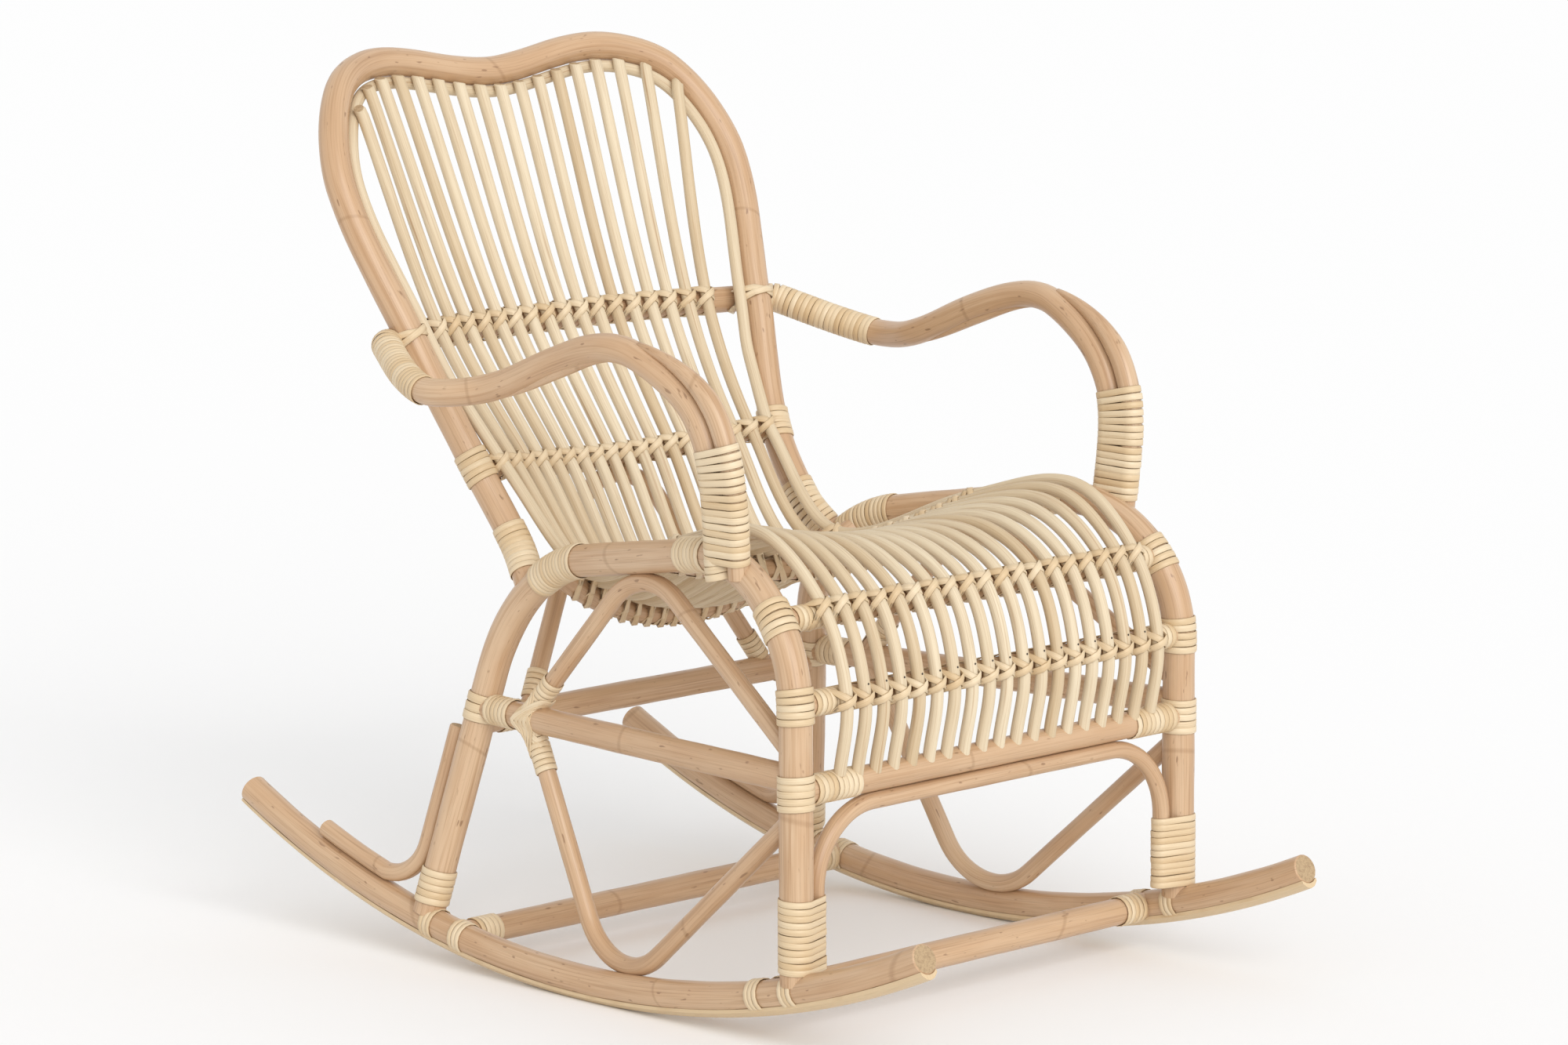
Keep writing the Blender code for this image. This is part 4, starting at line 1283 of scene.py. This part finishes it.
for side, label in sideNames.items():
    for name, path, diameter in (
        ("sideStretcher_", stretcherPath, braceSet["stretcherDiameter"]),
        ("sideArch_", archPath, braceSet["diameter"]),
        ("sideVee_", veePath, braceSet["diameter"]),
        ("heelBracket_", heelPath, braceSet["heelDiameter"]),
    ):
        addPole(name + label, flipped(path, side), diameter, braceSides)

rearRailPath = mirrored([rearRailEnd]) + [rearRailEnd]
rearFoot = Vector((braceSet["rearArchSpread"] / 2, rearRailEnd.y, rearRailEnd.z))
underRail = rails["lowerBackRail"].place(0) - upward * (railRadius + braceRadius - bite)
rearArchPath = tangentArch(mirrored([rearFoot])[0], rearFoot, underRail, braceSet["rearArchRadius"])
frontArchX = halfLegs - sideRadius - frontArchRadius - fit
frontArchTop = railSet["bottomHeight"] - railSet["bottomDiameter"] / 2 - frontArchRadius - fit
frontArchFoot = arcHeightAt(frontY, rockerArc) + rockerRadius + braceSet["footClearance"]
frontArchPath = rounded(
    [
        Vector((-frontArchX, frontY, frontArchFoot)),
        Vector((-frontArchX, frontY, frontArchTop)),
        Vector((frontArchX, frontY, frontArchTop)),
        Vector((frontArchX, frontY, frontArchFoot)),
    ],
    [braceSet["frontArchRadius"]] * 2,
)
frontStretcherY = frontY + braceSet["frontStretcherSetback"]
rearStretcherY = rearFootY - braceSet["rearStretcherAhead"]


def crossPole(y):
    height = arcHeightAt(y, rockerArc)
    return [Vector((-halfLegs, y, height)), Vector((halfLegs, y, height))]


for name, path, diameter in (
    ("rearCrossRail", rearRailPath, braceSet["stretcherDiameter"]),
    ("rearArch", rearArchPath, braceSet["diameter"]),
    ("frontArch", frontArchPath, braceSet["archDiameter"]),
    ("frontRockerStretcher", crossPole(frontStretcherY), braceSet["stretcherDiameter"]),
    ("rearRockerStretcher", crossPole(rearStretcherY), braceSet["stretcherDiameter"]),
):
    addPole(name, path, diameter, braceSides, facing=backward)
print("braces made")

# Bindings that the solids have as sleeves. Those on two poles face the second one.
wrapSet = {
    "hoopFootWrap": {"start": 0.012, "length": 0.056, "pitch": 0.0062},
    "seatRailWrap": {"ahead": 0.046, "length": 0.070, "pitch": 0.0054},
    "armRearWrap": {"start": 0.004, "length": 0.125, "pitch": 0.0060},
    "armPostWrap": {"start": 0.016, "length": 0.103, "pitch": 0.0066},
    "frontFootWrap": {"length": 0.062, "pitch": 0.0064, "below": 0.0035},
    "lift": 0.0006,
    "sides": 24,
    "pairSides": 32,
}
wrapLift = wrapSet["lift"]


def within(path, start, wrap):
    return runOf(path, start + wrap["pitch"] / 2, wrap["length"] - wrap["pitch"])


def roundOne(radius):
    return outlinePoints(radius + wrapLift, wrapSet["sides"])


def roundTwo(radius, second):
    return outlinePoints(radius + wrapLift, wrapSet["pairSides"], second + wrapLift, radius + second + fit)


hoopWrap = wrapSet["hoopFootWrap"]
seatWrap = wrapSet["seatRailWrap"]
rearWrap = wrapSet["armRearWrap"]
postWrap = wrapSet["armPostWrap"]
footWrap = wrapSet["frontFootWrap"]
seatWrapStart = nearest(sidePath, seatRearEnd)[1] - seatWrap["ahead"]
rearWrapStart = lengthOf(armPath) - rearWrap["start"] - rearWrap["length"]
postTurns = within(armPath, postWrap["start"], postWrap)
postAhead = (aheadOf(postTurns, [1.0] * len(postTurns))[0] - postTurns[0]).normalized()
legTurns = [
    Vector((halfLegs, frontY, frontArchFoot - footWrap["below"])),
    Vector((halfLegs, frontY, frontArchFoot + footWrap["length"] - footWrap["pitch"] / 2)),
]
wraps = (
    ("hoopFootWrap", within(leftHoopPath, hoopWrap["start"], hoopWrap), None, roundOne(hoopRadius)),
    ("seatRailWrap", within(sidePath, seatWrapStart, seatWrap), None, roundOne(sideRadius)),
    ("armRearWrap", within(armPath, rearWrapStart, rearWrap), None, roundOne(armRadius)),
    ("armPostWrap", postTurns, postAhead, roundTwo(armRadius, secondRadius)),
    ("frontFootWrap", legTurns, -across, roundTwo(sideRadius, frontArchRadius)),
)
for side, label in sideNames.items():
    for name, path, second, outline in wraps:
        facing = flipped([second], side)[0] if second else across
        turns = [(flipped(path, side), facing)]
        wind(name + "_" + label, turns, outline, wrapSet[name]["pitch"], solid=True)
print("wraps made")

# Smaller bindings, on both sides: rings round the legs and hoop, and turns at the ends of the rails
smallSet = {
    "legRings": {"length": 0.0270, "pitch": 0.0067},
    "railEndTurns": {"gap": 0.004, "lengths": (0.044, 0.036), "pitch": 0.0064},
    "bottomRailEndTurns": {"gap": 0.004, "length": 0.050, "pitch": 0.0064},
    "hoopRings": {"length": 0.0260, "pitch": 0.0065},
    "seatShortTurns": {"setback": 0.149, "length": 0.034, "pitch": 0.0060},
    "postFootTurns": {"start": 0.0015, "length": 0.0150, "pitch": 0.0070, "tilt": 0.22},
    "rearLegRings": {"length": 0.018, "pitch": 0.0090},
    "stretcherEndTurns": {"ahead": 0.036, "length": 0.030, "pitch": 0.0060},
    "braceFootTurns": {"start": 0.030, "length": 0.024, "pitch": 0.0058},
    "rearArchFootTurns": {"start": 0.018, "length": 0.024, "pitch": 0.0058},
    "rearRailTurns": {"start": 0.014, "length": 0.022, "pitch": 0.0058},
    "rearFootTurns": {"start": 0.016, "length": 0.026, "pitch": 0.0070},
    "rockerStraps": {"length": 0.012, "pitch": 0.0055, "offsets": (0.0, 0.006, -0.008, -0.004)},
    "crossEndTurns": {"gap": 0.004, "length": 0.022, "pitch": 0.0058},
    "sides": 16,
    "crosswise": 0.020,
}


def bothPaths(path, facing):
    return [(flipped(path, side), flipped([facing], side)[0]) for side in sideNames]


def windBoth(name, paths, radius):
    small = smallSet[name]
    sides = []
    for path in paths:
        lengthwise = abs(path[-1].x - path[0].x) < smallSet["crosswise"]
        sides += bothPaths(path, across if lengthwise else upward)
    outline = outlinePoints(radius + wrapLift, smallSet["sides"])
    wind(name, sides, outline, small["pitch"], tilt=small.get("tilt", windSet["tilt"]))


def ringOn(path, place, name):
    return about(path, place, smallSet[name]["length"])


def turnsOn(path, name):
    return runOf(path, smallSet[name]["start"], smallSet[name]["length"])


# Turns on a rail, beside the pole that it ends at
def besidePole(end, radius, name, length):
    start = end - across * (radius + smallSet[name]["gap"])
    return [start, start - across * length]


archUp = list(reversed(archPath))
veeUp = list(reversed(veePath))
rearArchUp = list(reversed(rearArchPath))
legRings = [ringOn(sidePath, end, "legRings") for end in (kneeEnd, midEnd, bottomEnd)]
windBoth("legRings", legRings, sideRadius)
railTurns = []
for end, length in zip((kneeEnd, midEnd), smallSet["railEndTurns"]["lengths"]):
    railTurns.append(besidePole(end, sideRadius, "railEndTurns", length))
windBoth("railEndTurns", railTurns, railRadius)
bottomLength = smallSet["bottomRailEndTurns"]["length"]
bottomTurns = besidePole(bottomEnd, sideRadius, "bottomRailEndTurns", bottomLength)
windBoth("bottomRailEndTurns", [bottomTurns], railSet["bottomDiameter"] / 2)
windBoth("hoopRings", [ringOn(leftHoopPath, lowerEnd, "hoopRings")], hoopRadius)
shortPlace = crossing(sidePath, 1, frontY + smallSet["seatShortTurns"]["setback"])
windBoth("seatShortTurns", [ringOn(sidePath, shortPlace, "seatShortTurns")], sideRadius)
windBoth("postFootTurns", [turnsOn(armPath, "postFootTurns")], armRadius)
windBoth("rearLegRings", [ringOn(sideFromRear, stretcherRear, "rearLegRings")], sideRadius)
endPlace = stretcherRear - backward * smallSet["stretcherEndTurns"]["ahead"]
windBoth("stretcherEndTurns", [ringOn(stretcherPath, endPlace, "stretcherEndTurns")], stretcherRadius)
windBoth("braceFootTurns", [turnsOn(path, "braceFootTurns") for path in (archUp, veeUp)], braceRadius)
windBoth("rearArchFootTurns", [turnsOn(rearArchUp, "rearArchFootTurns")], braceRadius)
railStart = rearFoot + across * smallSet["rearRailTurns"]["start"]
railStop = railStart + across * smallSet["rearRailTurns"]["length"]
windBoth("rearRailTurns", [[railStart, railStop]], stretcherRadius)
windBoth("rearFootTurns", [turnsOn(sideFromRear, "rearFootTurns")], sideRadius)
straps = []
strapPlaces = (frontY, frontStretcherY, rearFootY, rearStretcherY)
for y, offset in zip(strapPlaces, smallSet["rockerStraps"]["offsets"]):
    place = arcPoint(halfLegs, (y + offset - lowY) / rockerArc, rockerArc)
    straps.append(ringOn(rockerPath, place, "rockerStraps"))
windBoth("rockerStraps", straps, rockerRadius)
crossTurns = []
for y in (frontStretcherY, rearStretcherY):
    end = crossPole(y)[1]
    crossTurns.append(besidePole(end, rockerRadius, "crossEndTurns", smallSet["crossEndTurns"]["length"]))
windBoth("crossEndTurns", crossTurns, stretcherRadius)
print("small bindings made")

# Lashings where a rod crosses a rail, and where an arm crosses the hoop
lashSet = {
    "width": 0.0070,
    "thickness": 0.0011,
    "lifts": (0.0003, 0.0013),
    "overRod": 1.08,
    "spread": 0.0100,
    "loose": 0.05,
    "armReach": 0.0095,
    "armSpread": 0.017,
    "armLoose": 0.02,
}


# Two loops of peel that cross on a rod and pass behind the rail that carries it. The rail lies along x and
# the rod along y, on the rail's +z side. Each place in a loop comes with the way that the peel looks.
def lashingShape(name, railRadius, rodRadius, spread):
    loops = []
    for turn, lift in zip((1, -1), lashSet["lifts"]):
        far = railRadius + lift
        over = rodRadius * lashSet["overRod"] + lift
        shoulder = railRadius + rodRadius
        loop = [
            ((-spread, far, far * 0.1), (0, 1, 0.1)),
            ((-spread * 0.94, far * 0.80, far * 0.68), (-0.1, 0.75, 0.65)),
            ((-over, far * 0.50, shoulder - over * 0.1), (-1, 0.3, 0.3)),
            ((-over * 0.72, far * 0.28, shoulder + over * 0.72), (-0.7, 0, 0.7)),
            ((0, 0, shoulder + over), (0, 0, 1)),
            ((over * 0.72, -far * 0.28, shoulder + over * 0.72), (0.7, 0, 0.7)),
            ((over, -far * 0.50, shoulder - over * 0.1), (1, -0.3, 0.3)),
            ((spread * 0.94, -far * 0.80, far * 0.68), (0.1, -0.75, 0.65)),
            ((spread, -far, far * 0.1), (0, -1, 0.1)),
            ((spread * 0.5, -far * 0.76, -far * 0.76), (0, -0.7, -0.7)),
            ((0, 0, -far * 1.04), (0, 0, -1)),
            ((-spread * 0.5, far * 0.76, -far * 0.76), (0, 0.7, -0.7)),
        ]
        line = [Vector((x * turn, y, z)) for (x, y, z), way in loop]
        ways = [Vector((x * turn, y, z)) for place, (x, y, z) in loop]
        loops.append((line, ways))
    mesh = bandsMesh(name, loops, lashSet["width"], lashSet["thickness"], True, [])
    mesh.set_sharp_from_angle(angle=math.pi)
    return addObject(name, mesh)


def rodWayAt(path, place):
    done = nearest(path, place)[1]
    a, b = pointsAt(path, [max(done - wayStep, 0.0), done + wayStep])
    return (a - b).normalized()


for name, rail in rails.items():
    places = []
    for rod in range(rodSet["count"]):
        outermost = rod in (0, rodSet["count"] - 1)
        if name == "upperBackRail" and outermost:
            continue
        rodPlace = rail.rodPlace(rod)
        path = rodPaths.get(rod) or (leftEnd if rod else mirrored(leftEnd))
        railPlace = rodPlace - rail.side * (rail.radius + rodRadius + fit)
        places.append((railPlace, rail.side, rodWayAt(path, rodPlace)))
    shape = lashingShape("lashing", rail.radius, rodRadius, lashSet["spread"])
    scatter(name + "Lashings", shape, places, peelStrip, lashSet["loose"])

shape = lashingShape("armLashing", lashSet["armReach"], hoopRadius, lashSet["armSpread"])
armPlace = hoopAtArm - backFront * (hoopRadius + lashSet["armReach"])
armLashing = [armPlace, backFront, -rodWayAt(leftHoopPath, hoopAtArm)]
armPlaces = [flipped(armLashing, side) for side in sideNames]
scatter("armLashings", shape, armPlaces, peelStrip, lashSet["armLoose"])
print("lashings made")

# Straps that cross on the rear end of a side stretcher, from the foot of the arch down to the vee's foot
starSet = {
    "strands": 5,
    "width": 0.0052,
    "thickness": 0.0009,
    "start": 0.0130,
    "step": 0.0054,
    "lifts": (0.0006, 0.0019),
    "liftStep": 0.0002,
    "ahead": 0.0036,
    "spread": 0.0056,
    "shoulder": 0.0085,
    "footTurn": (-35, 0, 48),
    "steps": 3,
}
starCentre = onStretcher((braceSet["archFoot"] + braceSet["veeFoot"]) / 2)


# A strand's way round a brace's foot: places on it, each with the way that the strand looks
def roundFoot(path, distance, turn, lift):
    spot, ahead = pointsAt(path, [distance, distance + wayStep])
    beside = (ahead - spot).normalized().cross(across)
    beside *= math.copysign(turn, beside.y * turn)
    places = []
    for angle in starSet["footTurn"]:
        way = beside * math.cos(math.radians(angle)) + across * math.sin(math.radians(angle))
        places.append((spot + way * (braceRadius + lift), way))
    return places


def starStrand(strand, turn, lift):
    above = roundFoot(archUp, starSet["start"] + strand * starSet["step"], turn, lift)
    left = starSet["strands"] - 1 - strand
    below = roundFoot(veeUp, starSet["start"] + left * starSet["step"], -turn, lift)
    top = above[-1][0]
    bottom = below[-1][0]
    middle = []
    offset = strand - (starSet["strands"] - 1) / 2
    waist = starCentre.y - starSet["ahead"] - turn * offset * starSet["spread"]
    for height, end in ((starSet["shoulder"], top), (0.0, top), (-starSet["shoulder"], bottom)):
        y = waist + (end.y - waist) * height / (end.z - starCentre.z)
        out = math.sqrt(stretcherRadius**2 - height**2)
        way = Vector((out, 0, height)).normalized()
        middle.append((Vector((starCentre.x, y, starCentre.z)) + way * (stretcherRadius + lift), way))
    return above + middle + below[::-1]


strands = []
for turn, lift in zip((1, -1), starSet["lifts"]):
    for strand in range(starSet["strands"]):
        line = starStrand(strand, turn, lift + strand * starSet["liftStep"])
        strands.append([smooth(list(points), starSet["steps"]) for points in zip(*line)])
draw = random.Random("starStraps")
tones = [draw.random() for strand in strands]
for side, label in sideNames.items():
    bands = [(flipped(line, side), flipped(ways, side)) for line, ways in strands]
    name = "starStraps_" + label
    mesh = bandsMesh(name, bands, starSet["width"], starSet["thickness"], False, [peelStrip], tones)
    addPiece(name, mesh, False)
print("straps made")

# Nails: a small domed head on a rod just above its lashing
nailSet = {
    "radius": 0.0011,
    "height": 0.0006,
    "sides": 8,
    "above": 0.0125,
    "dome": ((0.85, -0.5), (1.0, 0.2), (0.6, 0.85)),
}


def nailShape():
    points = []
    sides = nailSet["sides"]
    for share, rise in nailSet["dome"]:
        for side in range(sides):
            angle = 2 * math.pi * side / sides
            flat = Vector((math.cos(angle), math.sin(angle), 0)) * (nailSet["radius"] * share)
            points.append(flat + upward * (rise * nailSet["height"]))
    faces = ringFaces(len(nailSet["dome"]), sides)
    faces.append(tuple(reversed(range(sides))))
    faces.append(tuple(range(len(points) - sides, len(points))))
    return addObject("nail", newMesh("nail", points, faces, [], None, {}))


nailPlaces = []
nailRail = rails["frontMidRail"]
for rod, path in rodPaths.items():
    done = nearest(path, nailRail.rodPlace(rod))[1]
    place = pointsAt(path, [done - nailSet["above"]])[0]
    way = rodWayAt(path, place)
    out = (nailRail.side - way * nailRail.side.dot(way)).normalized()
    nailPlaces.append((place + out * rodRadius, out, way))
scatter("nails", nailShape(), nailPlaces, nailSteel, 0.0)
print("nails made")

# Stage: a white floor that keeps the shadow, soft light from all round and a wide low sun from the front.
# The sky is full white where it is seen or mirrored, and lights the chair a little less.
stageSet = {
    "floorHalf": 60.0,
    "floorRoughness": 0.9,
    "white": "#FDFDFD",
    "sky": 0.75,
    "sun": 1.80,
    "sunSize": math.radians(45),
    "sunFrom": (-1.0, -2.4, 1.3),
}
floorMesh = bpy.data.meshes.new("floor")
floorHalf = stageSet["floorHalf"]
floorCorners = [(-1, -1), (1, -1), (1, 1), (-1, 1)]
floorMesh.from_pydata([(x * floorHalf, y * floorHalf, 0) for x, y in floorCorners], [], [(0, 1, 2, 3)])
floorLook, _, floorShader = newMaterial("floorWhite", stageSet["floorRoughness"])
floorShader.inputs["Base Color"].default_value = colour(stageSet["white"])
floorShader.inputs["Specular IOR Level"].default_value = 0.0
floorMesh.materials.append(floorLook)
addObject("floor", floorMesh)

world = bpy.data.worlds.new("softSky")
bpy.context.scene.world = world
world.use_nodes = True
skyTree = world.node_tree
sky = skyTree.nodes["Background"]
sky.inputs["Color"].default_value = colour("#FFFFFF")
rays = addNode(skyTree, "ShaderNodeLightPath").node.outputs
seen = rays["Is Camera Ray"]
for ray in ("Is Glossy Ray", "Is Transmission Ray"):
    seen = addNode(skyTree, "ShaderNodeMath", {0: seen, 1: rays[ray]}, operation="MAXIMUM")
values = {"Value": seen, "To Min": stageSet["sky"], "To Max": 1.0}
skyTree.links.new(addNode(skyTree, "ShaderNodeMapRange", values), sky.inputs["Strength"])
sun = bpy.data.lights.new("wideSun", "SUN")
sun.energy = stageSet["sun"]
sun.angle = stageSet["sunSize"]
sunThing = addObject("wideSun", sun)
sunThing.rotation_mode = "QUATERNION"
sunThing.rotation_quaternion = Vector(stageSet["sunFrom"]).to_track_quat("Z", "Y")

# Camera: the photograph's own view
cameraSet = {
    "lens": 135.0,
    "sensor": 36.0,
    "clipEnd": 300.0,
    "place": (-4.0018, -4.0969, 1.3481),
    "azimuth": math.radians(-44.527),
    "elevation": math.radians(9.083),
    "roll": math.radians(-0.272),
}
cameraData = bpy.data.cameras.new("photoView")
cameraData.lens = cameraSet["lens"]
cameraData.sensor_width = cameraSet["sensor"]
cameraData.clip_end = cameraSet["clipEnd"]
camera = addObject("photoView", cameraData)
azimuth = cameraSet["azimuth"]
elevation = cameraSet["elevation"]
roll = cameraSet["roll"]
level = Vector((math.sin(azimuth), -math.cos(azimuth), 0))
away = level * math.cos(elevation) + upward * math.sin(elevation)
flatRight = (-away).cross(upward).normalized()
flatUp = flatRight.cross(-away).normalized()
viewRight = flatRight * math.cos(roll) + flatUp * math.sin(roll)
viewUp = flatUp * math.cos(roll) - flatRight * math.sin(roll)
turn = Matrix((viewRight, viewUp, away)).transposed()
camera.matrix_world = Matrix.Translation(Vector(cameraSet["place"])) @ turn.to_4x4()
bpy.context.scene.camera = camera
bpy.context.scene.view_settings.view_transform = "Standard"
